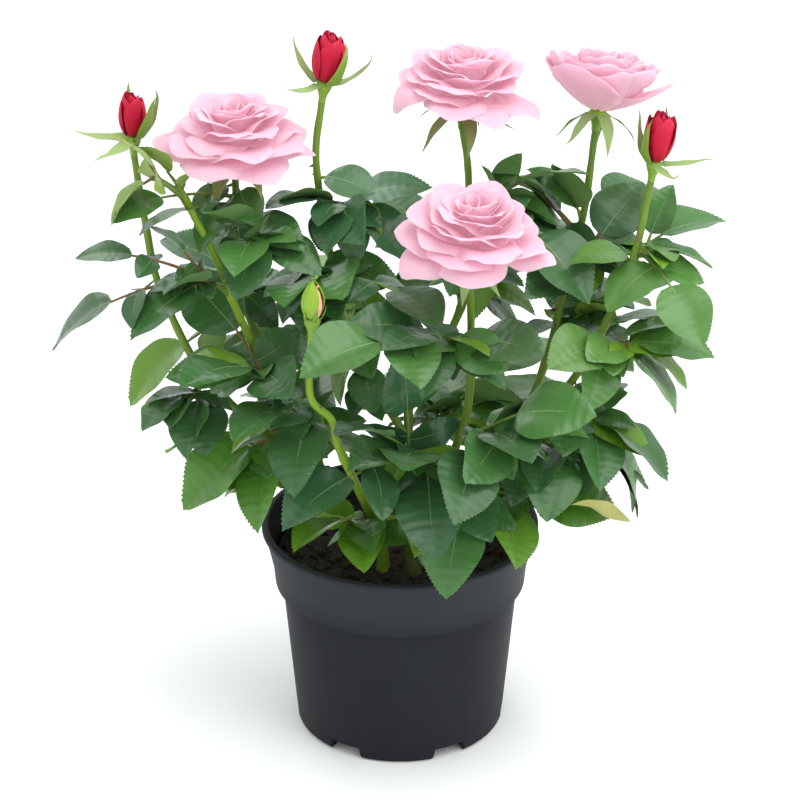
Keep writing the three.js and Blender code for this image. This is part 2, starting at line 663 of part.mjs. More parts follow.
// Each mass is one shoot and its leaves. Leaves that show come first, then the rule's.
function growFoliage(paths, flowers, sepals) {
  const blocks = Object.entries(paths).map(([name, path]) => (
    blockOf(limb(path, LIMB_SIDES, LIMB_STEPS), name, 'limb')));
  blocks.push(...sepals.map((geometry) => blockOf(geometry, 'flowers', 'sepals')));
  const shoots = {};
  Object.entries(MASSES).forEach(([name, { on, at, end }], number) => {
    const start = paths[on].curve.getPointAt(at);
    const goal = vector(end);
    const bow = start.clone().lerp(goal, 0.5).addScaledVector(UP, start.distanceTo(goal) * SHOOT_BOW);
    const curve = new THREE.QuadraticBezierCurve3(start, bow, goal);
    const geometry = threeSided([0, 0.5, 1].map((share, step) => {
      const along = curve.getTangent(share).normalize();
      return roundRing(curve.getPoint(share), along, squareTo(UP, along), SHOOT_RADIUS * (1 - 0.1 * step));
    }));
    shoots[name] = { curve, geometry, leaves: [], number };
    blocks.push(blockOf(geometry, name, 'shoot'));
  });
  const tryLeaf = (name, index, wantedTip, share) => {
    const shoot = shoots[name];
    for (let attempt = 0; attempt < LEAF_TRIES; attempt += 1) {
      const random = randomFrom(SEED + shoot.number * 1009 + index * 101 + attempt * 7);
      const nudge = new THREE.Vector3(random() - 0.5, random() - 0.5, random() - 0.5);
      const goal = wantedTip ?? ruledTip(shoot, index, random);
      const tip = goal.clone().addScaledVector(nudge, attempt * TRY_NUDGE);
      const leaf = planLeaf(shoot.curve.getPoint(share), tip, random);
      const fit = fitLeaf(leaf, name, shoot.curve.getPoint(1), blocks, flowers);
      const enough = wantedTip ? 1 : leaf.leaflets.length / 2;
      if (fit && fit.leaf.leaflets.length >= enough) {
        shoot.leaves.push(fit.leaf);
        blocks.push(...fit.blocks);
        return;
      }
    }
  };
  for (const [name, { tips }] of Object.entries(MASSES)) {
    tips.forEach((tip, index) => tryLeaf(name, index, vector(tip), 1 - LEAF_PLACES * index));
  }
  for (const [name, { tips, more }] of Object.entries(MASSES)) {
    for (let k = 0; k < more; k += 1) {
      tryLeaf(name, tips.length + k, null, between(RULED_PLACES, (k + 0.5) / more));
    }
  }
  return shoots;
}

// A mass as one solid, cut back clear of the limb that its shoot leaves
function massSolid(shoot, limbs) {
  const pieces = [solidOf(shoot.geometry)];
  for (const leaf of shoot.leaves) {
    pieces.push(solidOf(stalkGeometry(leaf)));
    leaf.leaflets.slice(1).forEach((leaflet) => pieces.push(solidOf(leafletGeometry(leaflet))));
  }
  const whole = limbs.reduce((mass, fatLimb) => mass.subtract(fatLimb), fuse(pieces));
  return mainBody(whole);
}

// The way a flower looks, from the lean of its axis in x and y
function flowerAxis({ lean }) {
  return new THREE.Vector3(lean[0], lean[1], 1).normalize();
}

function stand(geometry, axis, place) {
  geometry.applyQuaternion(new THREE.Quaternion().setFromUnitVectors(UP, axis));
  return geometry.translate(place.x, place.y, place.z);
}

// One petal: a rounded blade that leaves the middle at one angle and ends at another
function petalGeometry({ length, width, begins, ends, turn, foot }) {
  const blade = new THREE.SphereGeometry(1, 8, 2);
  return moveVertices(blade, (vertex) => {
    const share = (vertex.x + 1) / 2;
    let radius = 0.5;
    let height = foot;
    let angle = begins * RAD;
    for (let step = 0; step < PETAL_STEPS; step += 1) {
      angle = (begins + (ends - begins) * share * ((step + 0.5) / PETAL_STEPS)) * RAD;
      radius += (Math.cos(angle) * length * share) / PETAL_STEPS;
      height += (Math.sin(angle) * length * share) / PETAL_STEPS;
    }
    const side = -vertex.z * width * (PETAL_FOOT_WIDTH + (1 - PETAL_FOOT_WIDTH) * share);
    const round = turn + side / Math.max(radius, length * 0.42);
    const through = (vertex.y * PETAL_THICKNESS) / 2;
    radius -= Math.sin(angle) * through;
    height += Math.cos(angle) * through;
    return new THREE.Vector3(radius * Math.cos(round), radius * Math.sin(round), height);
  });
}

// A solid turned on a lathe, from its outline as shares of a radius and a height
function turned(outline, radius, height, sides) {
  const profile = outline.map(([r, z]) => new THREE.Vector2(r * radius, z * height));
  return solidOf(new THREE.LatheGeometry(profile, sides).rotateX(Math.PI / 2));
}

// A bloom: three rings of petals round a closed heart
function makeBloom({ radius, opening, reflex }) {
  const heart = [[0, 0], [0.4, 0], [0.81, 0.5], [1, 0.82], [0.62, 1], [0, 1]];
  const pieces = [turned(heart, radius * HEART_RADIUS, radius * HEART_HEIGHT, HEART_SIDES)];
  PETALS_IN_RING.forEach((count, ring) => {
    const length = radius * RING_SIZES[ring];
    for (let i = 0; i < count; i += 1) {
      pieces.push(solidOf(petalGeometry({
        length,
        width: (length * Math.PI * PETAL_OVERLAP) / count,
        begins: opening[ring] + RING_BEGINS[ring],
        ends: opening[ring] + PETAL_CUP - reflex * RING_REFLEX[ring],
        turn: ((i + RING_TWIST * ring) / count) * 2 * Math.PI,
        foot: RING_FEET[ring],
      })));
    }
  });
  return mainBody(fuse(pieces));
}

// A bud: a pointed egg with a flat foot
function makeBud({ radius, height }) {
  const egg = [[0, 0], [0.62, 0], [1, 0.3], [0.92, 0.55], [0.55, 0.85], [0, 1]];
  return turned(egg, radius, height, BUD_SIDES);
}

// A calyx: the hip between cane and flower, with long sepals from its top edge
function makeCalyx({ rise, bend, length, turn }, hipRadius) {
  const hip = [[0, 0], [0.42, 0], [0.9, 0.45], [1, 0.8], [0.95, 1], [0, 1]];
  const pieces = [turned(hip, hipRadius, HIP_HEIGHT, HIP_SIDES)];
  for (let i = 0; i < SEPAL_COUNT; i += 1) {
    const heading = (turn + (360 / SEPAL_COUNT) * i) * RAD;
    const reachTo = (radius, height) => (
      new THREE.Vector3(radius * Math.cos(heading), radius * Math.sin(heading), height));
    const half = (angle) => reachTo((length / 2) * Math.cos(angle), (length / 2) * Math.sin(angle));
    const foot = reachTo(hipRadius * 0.7, HIP_HEIGHT - SEPAL_FOOT_DEPTH);
    const knee = reachTo(hipRadius, HIP_HEIGHT - SEPAL_FOOT_DEPTH + 0.4).add(half(rise * RAD));
    const tip = knee.clone().add(half((rise + bend) * RAD));
    const curve = new THREE.QuadraticBezierCurve3(foot, knee, tip);
    const sepal = { curve, footRadius: SEPAL_FOOT_RADIUS, tipRadius: SEPAL_TIP_RADIUS };
    pieces.push(solidOf(limb(sepal, 3, 2)));
  }
  return mainBody(fuse(pieces));
}

function standSolid(solid, axis, place) {
  const geometry = geometryOf(solid);
  geometry.deleteAttribute('normal');
  return solidOf(stand(geometry, axis, place));
}

// A calyx in its place under its flower. The sepals round a bud are cut clear of it.
function calyxSolid(calyx, { axis, seat, base }) {
  const bud = BUDS[calyx.under];
  const solid = standSolid(makeCalyx(calyx, bud ? BUD_HIP_RADIUS : HIP_RADIUS), axis, seat);
  if (!bud) return solid;
  const fatBud = makeBud({ radius: bud.radius + GAP, height: bud.height + GAP });
  return mainBody(solid.subtract(standSolid(fatBud, axis, base.clone().addScaledVector(axis, -GAP / 2))));
}

// Where each flower stands: its axis, the foot of its hip and the foot of its petals
function flowerPlaces(paths) {
  const places = {};
  for (const [name, flower] of Object.entries({ ...BLOOMS, ...BUDS })) {
    const axis = flowerAxis(flower);
    const seat = paths[flower.cane].curve.getPoint(1).addScaledVector(axis, SEAT_GAP);
    const base = seat.clone().addScaledVector(axis, HIP_HEIGHT + GAP);
    places[name] = { axis, seat, base };
  }
  return places;
}

// The room that each flower takes, for leaves to keep out of
function flowerRoom(places) {
  return Object.entries({ ...BLOOMS, ...BUDS }).map(([name, flower]) => {
    const { axis, base } = places[name];
    const height = flower.height ?? flower.radius * 0.7;
    return {
      centre: base.clone().addScaledVector(axis, height * 0.4),
      across: flower.radius + (flower.height ? 3 : 4),
      up: height * 0.75 + 5,
    };
  });
}

function makePlant() {
  const plant = new THREE.Group();
  plant.add(part('pot', makePot(), 'pot'));
  plant.add(part('compost', makeCompost(), 'compost'));
  const paths = limbPaths();
  for (const [name, solid] of Object.entries(makeLimbs(paths))) {
    plant.add(part(name, solid, 'stem'));
  }
  const places = flowerPlaces(paths);
  for (const [name, bloom] of Object.entries(BLOOMS)) {
    plant.add(part(name, standSolid(makeBloom(bloom), places[name].axis, places[name].base), 'petal'));
  }
  for (const [name, bud] of Object.entries(BUDS)) {
    const material = name === 'bud_front' ? 'calyx' : 'bud';
    plant.add(part(name, standSolid(makeBud(bud), places[name].axis, places[name].base), material));
  }
  const calyxes = Object.entries(CALYXES).map(([name, calyx]) => (
    part(name, calyxSolid(calyx, places[calyx.under]), 'calyx')));
  plant.add(...calyxes);
  const fatLimbs = Object.values(paths).map((path) => limbSolid(path, GAP));
  const shoots = growFoliage(paths, flowerRoom(places), calyxes.map((calyx) => calyx.geometry));
  for (const [name, shoot] of Object.entries(shoots)) {
    plant.add(part(name, massSolid(shoot, fatLimbs), 'leaf'));
  }
  return plant;
}

const plant = makePlant();

export default plant;
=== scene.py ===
# Miniature rose bush in its black nursery pot: the finish of every surface.
# The plant's own tables are in millimetres, as its solids are, and turn to metres in the meshes.

import math

import bpy
import numpy as np
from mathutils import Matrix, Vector
from mathutils.bvhtree import BVHTree


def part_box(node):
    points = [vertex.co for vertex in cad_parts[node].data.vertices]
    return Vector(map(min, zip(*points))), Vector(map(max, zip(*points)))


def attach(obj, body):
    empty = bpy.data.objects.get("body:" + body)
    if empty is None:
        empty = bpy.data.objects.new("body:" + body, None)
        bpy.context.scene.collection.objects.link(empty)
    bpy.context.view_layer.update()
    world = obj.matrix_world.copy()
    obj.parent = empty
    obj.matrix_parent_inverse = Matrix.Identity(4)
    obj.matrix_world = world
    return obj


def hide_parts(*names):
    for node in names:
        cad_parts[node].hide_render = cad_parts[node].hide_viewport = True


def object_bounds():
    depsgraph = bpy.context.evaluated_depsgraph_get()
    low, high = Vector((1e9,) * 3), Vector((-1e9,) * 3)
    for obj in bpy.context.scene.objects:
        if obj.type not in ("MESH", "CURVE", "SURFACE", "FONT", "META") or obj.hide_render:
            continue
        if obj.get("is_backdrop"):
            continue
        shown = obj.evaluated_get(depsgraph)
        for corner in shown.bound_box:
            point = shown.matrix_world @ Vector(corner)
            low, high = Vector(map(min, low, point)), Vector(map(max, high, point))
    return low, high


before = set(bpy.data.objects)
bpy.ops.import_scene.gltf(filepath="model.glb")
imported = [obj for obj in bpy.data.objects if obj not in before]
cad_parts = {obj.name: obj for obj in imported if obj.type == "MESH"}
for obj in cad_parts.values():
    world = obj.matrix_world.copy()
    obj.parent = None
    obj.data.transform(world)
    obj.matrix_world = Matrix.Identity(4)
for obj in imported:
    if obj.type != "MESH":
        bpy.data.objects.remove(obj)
cad_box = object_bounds()

MM = 0.001
RAD = math.pi / 180
UP = np.array([0.0, 0.0, 1.0])
BACK = np.array([0.0, 1.0, 0.0])

# Pot and compost
POT_HEIGHT = 103.3
RIM_RADIUS = 65
LIP_HEIGHT = 2.6
LIP_STEP = 1.3
COLLAR_DEPTH = 26
COLLAR_RADIUS = 58.6
BODY_TOP_RADIUS = 56
BASE_RADIUS = 49.4
POT_WALL = 1.6
FLOOR_HEIGHT = 6
FOOT_WIDTH = 6
PAD_RADIUS = 18
NOTCH_COUNT = 6
NOTCH_WIDTH = 17.5
NOTCH_FIRST = -121.7
POT_STEPS = 120
POT_BEVEL = 0.35
SOIL_TOP = 88
SOIL_RADIUS = 57.4
SOIL_DEPTH = 14
SOIL_RINGS = 26
CRUMB_COUNT = 700
CRUMB_SIZES = (0.5, 2.2)

# Stems and canes
GAP = 0.3
STEM_FOOT_RADIUS = 3.4
STEM_TIP_RADIUS = 2.6
CANE_FOOT_RADIUS = 2.4
CANE_TIP_RADIUS = 1.9
FOOT_RISE = 14
PATH_DIVISIONS = 200
LIMB_SIDES = 16
LIMB_STEP = 1.6
LIMB_SLIMNESS = 0.84
NODE_SWELLING = 0.45
NODE_REACH = 2.6
FLARE_SWELLING = 1.5
FLARE_REACH = 5
FOOT_SUNK = 3
PRICKLE_SPACING = 22
PRICKLE_SIZES = (1.6, 3.2)

# Leaves, by the same rule as their solids
LEAFLET_LONGEST = 43
LEAFLET_SHARE = 0.82
LEAFLET_EDGE = [[0, 0], [0.27, 0.36], [0.66, 0.3], [1, 0], [0.66, -0.3], [0.27, -0.36]]
LEAFLET_MIDDLE = 0.27
LEAFLET_FOLD = 0.07
LEAFLET_DROOP = 0.1
SIDE_LEAFLET_SIZES = [0.84, 0.72, 0.6]
SIDE_LEAFLET_ANGLE = 74
SHORT_STALK_TURN = 14
SHORT_STALK_SIZE = 0.82
PAIR_FIRST = 0.38
PAIR_STEP = 0.54
PAIR_STAGGER = 0.9
PAIR_STALK = 5
SHORTEST_STALK = 2
STALK_SHARE = 0.7
SKYWARD_LEAN = 0.45
RACHIS_RADIUS = 1.0
SHOOT_RADIUS = 1.5
ROOT_SUNK = 0.5
TIP_SUNK = 1.2
LEAF_CLEARANCE = 0.7
LEAF_TRIES = 9
LEAF_LOWEST = 99
RULED_LOWEST = 116
RIM_INSIDE = 7
RIM_MARGIN = 2
LEAF_ARCH = 0.16
LEAF_PLACES = 0.28
TRY_NUDGE = 5
SHOOT_BOW = 0.15
GOLDEN_ANGLE = 137.5
RULED_PLACES = (0.95, 0.25)
RULED_SPREAD = 0.55
RULED_LIFT = (-34, 28)
RULED_REACH = (54, 80)
FOUND_WITHIN = 0.2

# Where the random numbers of the solids' leaves begin, and how far apart those of the masses, of
# their leaves and of the tries for one leaf lie
SEED = 20
MASS_STEP = 1009
LEAF_STEP = 101
TRY_STEP = 7

# Finer leaves that only this dressed plant has
FINER_REACH = (26, 54)
FINER_TRIES = 24
SPARE_SIZE = 0.72
FINER_MARGIN = 8
FINER_PLACES = (1, 0.35)
FINER_FIRST = 20

# The withered leaf's foot on its mass, its blade's root and its tip
WITHERED_LEAF = np.array([(58, -42, 142), (71, -48, 137), (108, -45, 130)])

# A leaflet's blade: rows from root to tip with a notch and a tooth in turn
TEETH = 25
TEETH_BEGIN = 0.05
TOOTH_HEIGHT = 0.0065
TOOTH_SWEEP = 0.6
BLADE_COLUMNS = 6
BLADE_WIDTH = 0.395
BLADE_SIZES = (0.76, 0.94)
BLADE_TILT = 0.30
BLADE_FOLD = 0.28
BLADE_DROOPS = (-0.02, 0.12)
BLADE_TWIST = 0.30
BLADE_BEND = 0.05
BLADE_RIPPLES = (0.004, 0.018)
BLADE_SLIMNESS = (0.84, 1.04)
BLADE_TAPERS = (0.15, 0.55)
VEIN_COUNT = 8
VEIN_RELIEF = 0.010

# Flowers
HIP_HEIGHT = 8
HIP_RADIUS = 4.6
BUD_HIP_RADIUS = 3.9
SEAT_GAP = 0.9
SEPAL_COUNT = 5
PETAL_ROWS = 15
PETAL_COLUMNS = 14
PETAL_THICKNESS = 0.36
PETAL_SMOOTHING = 80
BUD_PETAL_COUNT = 10

# Where the random numbers of each kind of piece begin
CRUMB_SEED = 77
LIMB_SEED = 300
PRICKLE_SEED = 500
BLOOM_SEED = 4000
BUD_SEED = 4600
CALYX_SEED = 4800
BLADE_SEED = 7000
LIME_SEED = 7500
WITHERED_SEED = 61
FINER_SEED = 9000
PLACED_SEED = 12000


def table(columns, rows):
    """A table's rows by their names, each with its values under the names of the columns."""
    return {name: dict(zip(columns.split(), row)) for name, row in rows.items()}


# Each stem: its foot on the compost, and the fork where it ends
STEMS = table("foot by", {
    "stem_left": ((-20, -6), [(-50, -10, 152)]),
    "stem_centre": ((4, 14), [(4, 22, 150)]),
    "stem_right": ((24, -4), [(58, -10, 152)]),
    "stem_front": ((6, -22), [(20, -36, 146)]),
})

# Each cane: the stem that bears it and where along that, and the places it goes by. One has a
# foot of its own instead
CANES = table("on at by foot", {
    "cane_bud_left": ("stem_left", 0.72, [(-84, -8, 175), (-106, -10, 222), (-113, -5, 256),
        (-117, 0, 285)]),
    "cane_young_left": ("stem_left", 0.86, [(-58, -20, 182), (-73, -25, 224), (-80, -25, 245),
        (-96, -25, 280)]),
    "cane_bloom_left": ("stem_left", 1, [(-62, -4, 190), (-70, -4, 218), (-72, -8, 255),
        (-72, -10, 279)]),
    "cane_bud_top": ("stem_centre", 0.75, [(-22, 10, 190), (-32, 5, 240), (-37, 1, 282), (-34, 0, 310)]),
    "cane_bloom_top": ("stem_centre", 1, [(22, 26, 185), (31, 25, 215), (31, 28, 264), (28, 30, 287)]),
    "cane_bloom_front": ("stem_front", 1, [(29, -42, 176), (31, -46, 204), (30, -54, 249)]),
    "cane_bud_front": (None, 0, [(-12, -26, 116), (-27, -48, 165), (-30, -55, 182), (-39, -58, 195),
        (-38, -60, 224)], (-8, -20)),
    "cane_bloom_right": ("stem_right", 0.8, [(68, 8, 185), (78, 25, 225), (84, 28, 248), (88, 30, 286)]),
    "cane_bud_right": ("stem_right", 1, [(80, -22, 190), (94, -20, 219), (104, -15, 246),
        (110, -10, 277)]),
})

# Each bloom: its cane, how it leans, its radius, how much its outer petals rise in degrees, how
# far petals roll back, and how long the heart's petals are
BLOOMS = table("cane lean radius cup roll heart", {
    "bloom_left": ("cane_bloom_left", (-0.02, -0.12), 34, 2, 1, 0.92),
    "bloom_top": ("cane_bloom_top", (0.02, -0.04), 33, 15, 0.8, 1),
    "bloom_front": ("cane_bloom_front", (0.04, -0.16), 34, 14, 1, 1.14),
    "bloom_right": ("cane_bloom_right", (0.12, 0.16), 33, 0, 0.15, 1),
})

BUDS = table("cane lean radius height", {
    "bud_left": ("cane_bud_left", (0.0, -0.1), 5.6, 19),
    "bud_top": ("cane_bud_top", (0.16, -0.05), 8, 21),
    "bud_right": ("cane_bud_right", (0.12, -0.05), 6.2, 21),
    "bud_front": ("cane_bud_front", (0.06, -0.02), 5.6, 17),
})

# Each calyx: its flower, how its sepals rise and bend in degrees, their length, where the first
# one points, their width, and how much higher than that rise each of the five stands
CALYXES = table("under rise bend length turn wide lifts", {
    "calyx_left": ("bloom_left", -50, -30, 22, 20, 6.2, (0, 0, 0, 6, 46)),
    "calyx_top": ("bloom_top", -18, -40, 27, 0, 4.2, (8, 0, 10, -12, -12)),
    "calyx_front": ("bloom_front", -35, -25, 20, 40, 3.6, (0, 0, 0, -10, -10)),
    "calyx_right": ("bloom_right", -40, -25, 24, 10, 4.0, (10, 0, 8, 0, -6)),
    "calyx_bud_left": ("bud_left", 34, 24, 26, 30, 4.6, (24, 10, -34, -44, 26)),
    "calyx_bud_top": ("bud_top", 14, 34, 28, 10, 3.5, (14, 24, 26, -16, 40)),
    "calyx_bud_right": ("bud_right", 18, 20, 26, 0, 3.4, (-12, 30, 50, 54, -14)),
    "calyx_bud_front": ("bud_front", 60, 20, 8, 0, 1.5, (0, 0, 0, 0, 0)),
})

# The masses of foliage, as in their solids: the limb that bears each and where, the end of its
# shoot, how many leaves follow the rule alone, their tone, how many finer leaves there are
# besides, and the tips of the leaves that stand out. Two have their own size of side leaflet
# and share of reddish stalks
MASSES = table("on at end more tone finer tips side_size reddish", {
    "leaves_left_spray": ("cane_young_left", 0.62, (-86, -32, 240), 0, "deep", 1,
        [(-165, -28, 202), (-122, -54, 218), (-104, -58, 246)], 0.66, 1),
    "leaves_left_top": ("cane_young_left", 0.95, (-106, -32, 286), 0, "young", 0,
        [(-130, -40, 264), (-113, -28, 306), (-86, -36, 300)]),
    "leaves_left_upper": ("cane_bloom_left", 0.72, (-60, -22, 254), 2, "deep", 9,
        [(-68, -58, 228), (-28, -40, 244), (-90, -46, 262)]),
    "leaves_left_middle": ("cane_young_left", 0.3, (-62, -42, 198), 1, "deep", 6,
        [(-114, -40, 198), (-97, -74, 212), (-62, -92, 200)]),
    "leaves_left_side": ("cane_bud_left", 0.3, (-98, -18, 176), 1, "deep", 4,
        [(-124, -6, 158), (-84, -52, 160), (-136, -20, 186)]),
    "leaves_left_lower": ("stem_left", 0.7, (-62, -24, 156), 1, "fresh", 6,
        [(-104, -40, 128), (-68, -62, 124), (-92, -26, 140)]),
    "leaves_front_left": ("cane_bud_front", 0.52, (-44, -40, 184), 1, "deep", 10,
        [(-78, -80, 184), (-50, -90, 160)]),
    "leaves_rim_left": ("cane_bud_front", 0.12, (-18, -36, 122), 0, "low", 4,
        [(-55, -75, 127), (-17, -74, 116)]),
    "leaves_rim_front": ("stem_front", 0.6, (28, -42, 136), 0, "blue", 4,
        [(18, -86, 101), (4, -76, 111), (52, -72, 130)]),
    "leaves_front_middle": ("stem_front", 0.9, (4, -46, 162), 2, "blue", 10,
        [(1, -66, 222), (-2, -90, 178), (-30, -84, 194)]),
    "leaves_front_right": ("cane_bloom_front", 0.22, (44, -54, 172), 1, "deep", 10,
        [(28, -98, 172), (58, -98, 184), (84, -80, 200)]),
    "leaves_front_upper": ("cane_bloom_front", 0.6, (18, -56, 222), 1, "deep", 9,
        [(10, -92, 208), (-28, -70, 236), (56, -84, 224)]),
    "leaves_centre_left": ("cane_bud_top", 0.5, (-40, -14, 234), 2, "deep", 10,
        [(-50, -58, 238), (-6, -50, 252), (10, -66, 226)]),
    "leaves_centre_top": ("cane_bud_top", 0.72, (-24, -8, 264), 1, "blue", 6,
        [(16, -8, 279), (-12, -38, 262), (-62, -22, 272)]),
    "leaves_middle_top": ("cane_bloom_top", 0.72, (42, 16, 256), 1, "deep", 6,
        [(54, 22, 280), (86, 2, 284), (52, -26, 258)]),
    "leaves_right_top": ("cane_bud_right", 0.7, (110, -4, 244), 1, "mid", 6,
        [(124, 8, 274), (142, -18, 240), (86, -34, 262)]),
    "leaves_right_spray": ("cane_bud_right", 0.42, (100, -34, 208), 1, "mid", 6,
        [(140, -44, 212), (130, -60, 182), (68, -66, 216)]),
    "leaves_right_side": ("cane_bud_right", 0.12, (86, -26, 168), 1, "deep", 6,
        [(90, -64, 146), (118, -34, 112), (126, -44, 150)], 0.8, 0.6),
    "leaves_right_front": ("stem_right", 0.8, (66, -32, 158), 1, "deep", 10,
        [(66, -76, 140), (80, -72, 176)]),
    "leaves_rim_right": ("stem_right", 0.42, (48, -26, 130), 1, "low", 6,
        [(106, -44, 128), (54, -72, 114)]),
    "leaves_right_upper": ("cane_bloom_right", 0.6, (86, 12, 232), 2, "deep", 9,
        [(112, 34, 262), (62, -30, 244)]),
    "leaves_back_right": ("cane_bloom_right", 0.3, (84, 38, 194), 3, "deep", 14, [(124, 68, 188)]),
    "leaves_back_middle": ("cane_bloom_top", 0.4, (24, 46, 212), 3, "deep", 14, [(30, 118, 210)]),
    "leaves_back_left": ("cane_bloom_left", 0.4, (-66, 18, 212), 3, "deep", 14, [(-100, 78, 202)]),
    "leaves_back_centre": ("cane_bud_top", 0.3, (-24, 32, 192), 3, "deep", 14, [(-34, 104, 180)]),
    "leaves_back_low_left": ("stem_left", 0.6, (-44, 20, 146), 3, "mid", 9, [(-80, 76, 138)]),
    "leaves_back_low_right": ("stem_centre", 0.7, (28, 42, 142), 3, "mid", 9, [(68, 88, 132)]),
})

# Leaves that stand out and are placed one by one: the mass they belong to, the limb or shoot that
# bears them, and for each one where along that, its tip, its longest leaflet and how many
# leaflets it has
PLACED_LEAVES = [
    ("leaves_left_top", "cane_young_left", [(1, (-116, -34, 306), 40, 1),
        (0.98, (-84, -36, 294), 30, 1)]),
    ("leaves_left_upper", "cane_bloom_left", [(0.92, (-126, -42, 272), 27, 1),
        (0.88, (-120, -46, 265), 38, 1)]),
    ("leaves_left_upper", "leaves_left_upper", [(1, (-43, -42, 262), 32, 1),
        (0.8, (-86, -42, 278), 32, 1), (0.9, (-62, -44, 272), 30, 1)]),
    ("leaves_left_upper", "cane_bloom_left", [(0.85, (-66, -47, 243), 33, 3),
        (0.82, (-38, -36, 256), 34, 1), (0.97, (-97, -28, 264), 34, 1),
        (0.93, (-90, -36, 250), 36, 1), (0.96, (-60, -38, 262), 32, 1)]),
    ("leaves_left_spray", "leaves_left_spray", [(1, (-144, -36, 252), 26, 7),
        (0.95, (-110, -30, 267), 22, 3)]),
    ("leaves_centre_top", "leaves_centre_top", [(0.7, (-12, -15, 254), 32, 1),
        (1, (-4, -22, 252), 36, 1), (1, (8, -18, 242), 42, 1), (0.9, (-17, -26, 239), 38, 1)]),
    ("leaves_centre_top", "cane_bud_top", [(0.8, (-5, -10, 271), 38, 1)]),
    ("leaves_centre_left", "leaves_centre_left", [(1, (-7, -16, 241), 34, 1),
        (1, (5, -18, 234), 42, 1), (0.8, (-17, -22, 222), 34, 1)]),
    ("leaves_middle_top", "leaves_middle_top", [(1, (38, 22, 273), 34, 1)]),
    ("leaves_back_middle", "cane_bloom_top", [(0.62, (38, 2, 198), 36, 1), (0.68, (23, 0, 213), 34, 1)]),
    ("leaves_back_left", "cane_bloom_left", [(0.55, (-52, -14, 206), 36, 1)]),
    ("leaves_back_centre", "cane_bud_top", [(0.22, (-25, -6, 155), 34, 1),
        (0.18, (-9, -6, 154), 34, 1)]),
    ("leaves_back_centre", "leaves_back_centre", [(1, (-22, 8, 188), 36, 1),
        (0.9, (-34, 6, 204), 34, 1), (0.95, (-12, -2, 176), 36, 3)]),
    ("leaves_back_centre", "cane_bud_top", [(0.32, (-31, -6, 160), 36, 1),
        (0.27, (-12, -8, 160), 38, 1), (0.36, (-16, -10, 178), 34, 1)]),
    ("leaves_right_top", "cane_bloom_right", [(0.68, (40, 18, 275), 32, 1),
        (0.72, (70, 16, 278), 36, 1), (0.66, (52, 10, 262), 34, 3), (0.69, (45, 30, 268), 36, 1),
        (0.74, (56, 24, 273), 34, 1)]),
    ("leaves_right_upper", "cane_bloom_right", [(0.42, (53, -6, 200), 36, 1)]),
    ("leaves_right_spray", "cane_bud_right", [(0.5, (120, -16, 215), 36, 1)]),
    ("leaves_right_side", "leaves_right_side", [(1, (115, -34, 114), 42, 1),
        (0.8, (105, -20, 183), 26, 1)]),
]


# Small helpers for places and directions

def unit(v):
    return v / np.linalg.norm(v)


def square_to(direction, along):
    return unit(direction - along * np.dot(direction, along))


def turned_about(v, axis, angle):
    return (v * math.cos(angle) + np.cross(axis, v) * math.sin(angle)
            + axis * np.dot(axis, v) * (1 - math.cos(angle)))


def between(ends, share):
    return ends[0] + (ends[1] - ends[0]) * share


class Dice:
    """Repeatable random numbers from 0 to 1, the same as for the solids."""

    WORD = 0xFFFFFFFF

    def __init__(self, seed):
        self.state = seed & self.WORD

    def roll(self):
        self.state = (self.state + 0x6D2B79F5) & self.WORD
        value = self.state
        value = ((value ^ (value >> 15)) * (value | 1)) & self.WORD
        value ^= (value + (((value ^ (value >> 7)) * (value | 61)) & self.WORD)) & self.WORD
        return (value ^ (value >> 14)) / 4294967296

    def within(self, lowest, highest):
        return lowest + (highest - lowest) * self.roll()

    def about(self, spread):
        return (self.roll() - 0.5) * 2 * spread


class Path:
    """A smooth curve through places, with the radii of the limb that follows it."""

    def __init__(self, places, foot_radius, tip_radius):
        self.places = [np.array(place, float) for place in places]
        self.foot_radius = foot_radius
        self.tip_radius = tip_radius
        shares = np.linspace(0, 1, PATH_DIVISIONS + 1)
        points = line_of(self, shares)
        steps = np.linalg.norm(np.diff(points, axis=0), axis=1)
        self.lengths = np.concatenate([[0], np.cumsum(steps)])
        self.length = self.lengths[-1]

    def at(self, share):
        last = len(self.places) - 1
        index = min(int(share * last), last - 1)
        weight = share * last - index
        one, two = self.places[index], self.places[index + 1]
        before = self.places[index - 1] if index else 2 * one - two
        after = self.places[index + 2] if index + 2 <= last else 2 * two - one
        leave, arrive = (two - before) / 2, (after - one) / 2
        square = -3 * one + 3 * two - 2 * leave - arrive
        cube = 2 * one - 2 * two + leave + arrive
        return one + leave * weight + square * weight ** 2 + cube * weight ** 3

    def along(self, share):
        goal = share * self.length
        index = int(np.searchsorted(self.lengths, goal, side="right")) - 1
        index = min(max(index, 0), PATH_DIVISIONS - 1)
        part = (goal - self.lengths[index]) / (self.lengths[index + 1] - self.lengths[index])
        return self.at((index + part) / PATH_DIVISIONS)


class Bow:
    """A curve with one bend, from start by a middle place to an end."""

    def __init__(self, start, middle, end):
        self.start, self.middle, self.end = start, middle, end

    def at(self, share):
        rest = 1 - share
        return rest * rest * self.start + 2 * rest * share * self.middle + share * share * self.end

    def heading(self, share):
        return unit(self.at(min(share + 1e-4, 1)) - self.at(max(share - 1e-4, 0)))


# Faces of closed blades and tubes, numbered within one shape

class Faces:
    """Faces as one run of corner numbers, with each face's size and kind."""

    def __init__(self, faces, kinds):
        self.corners = np.array([corner for face in faces for corner in face])
        self.sizes = np.array([len(face) for face in faces])
        self.kinds = np.array(kinds)


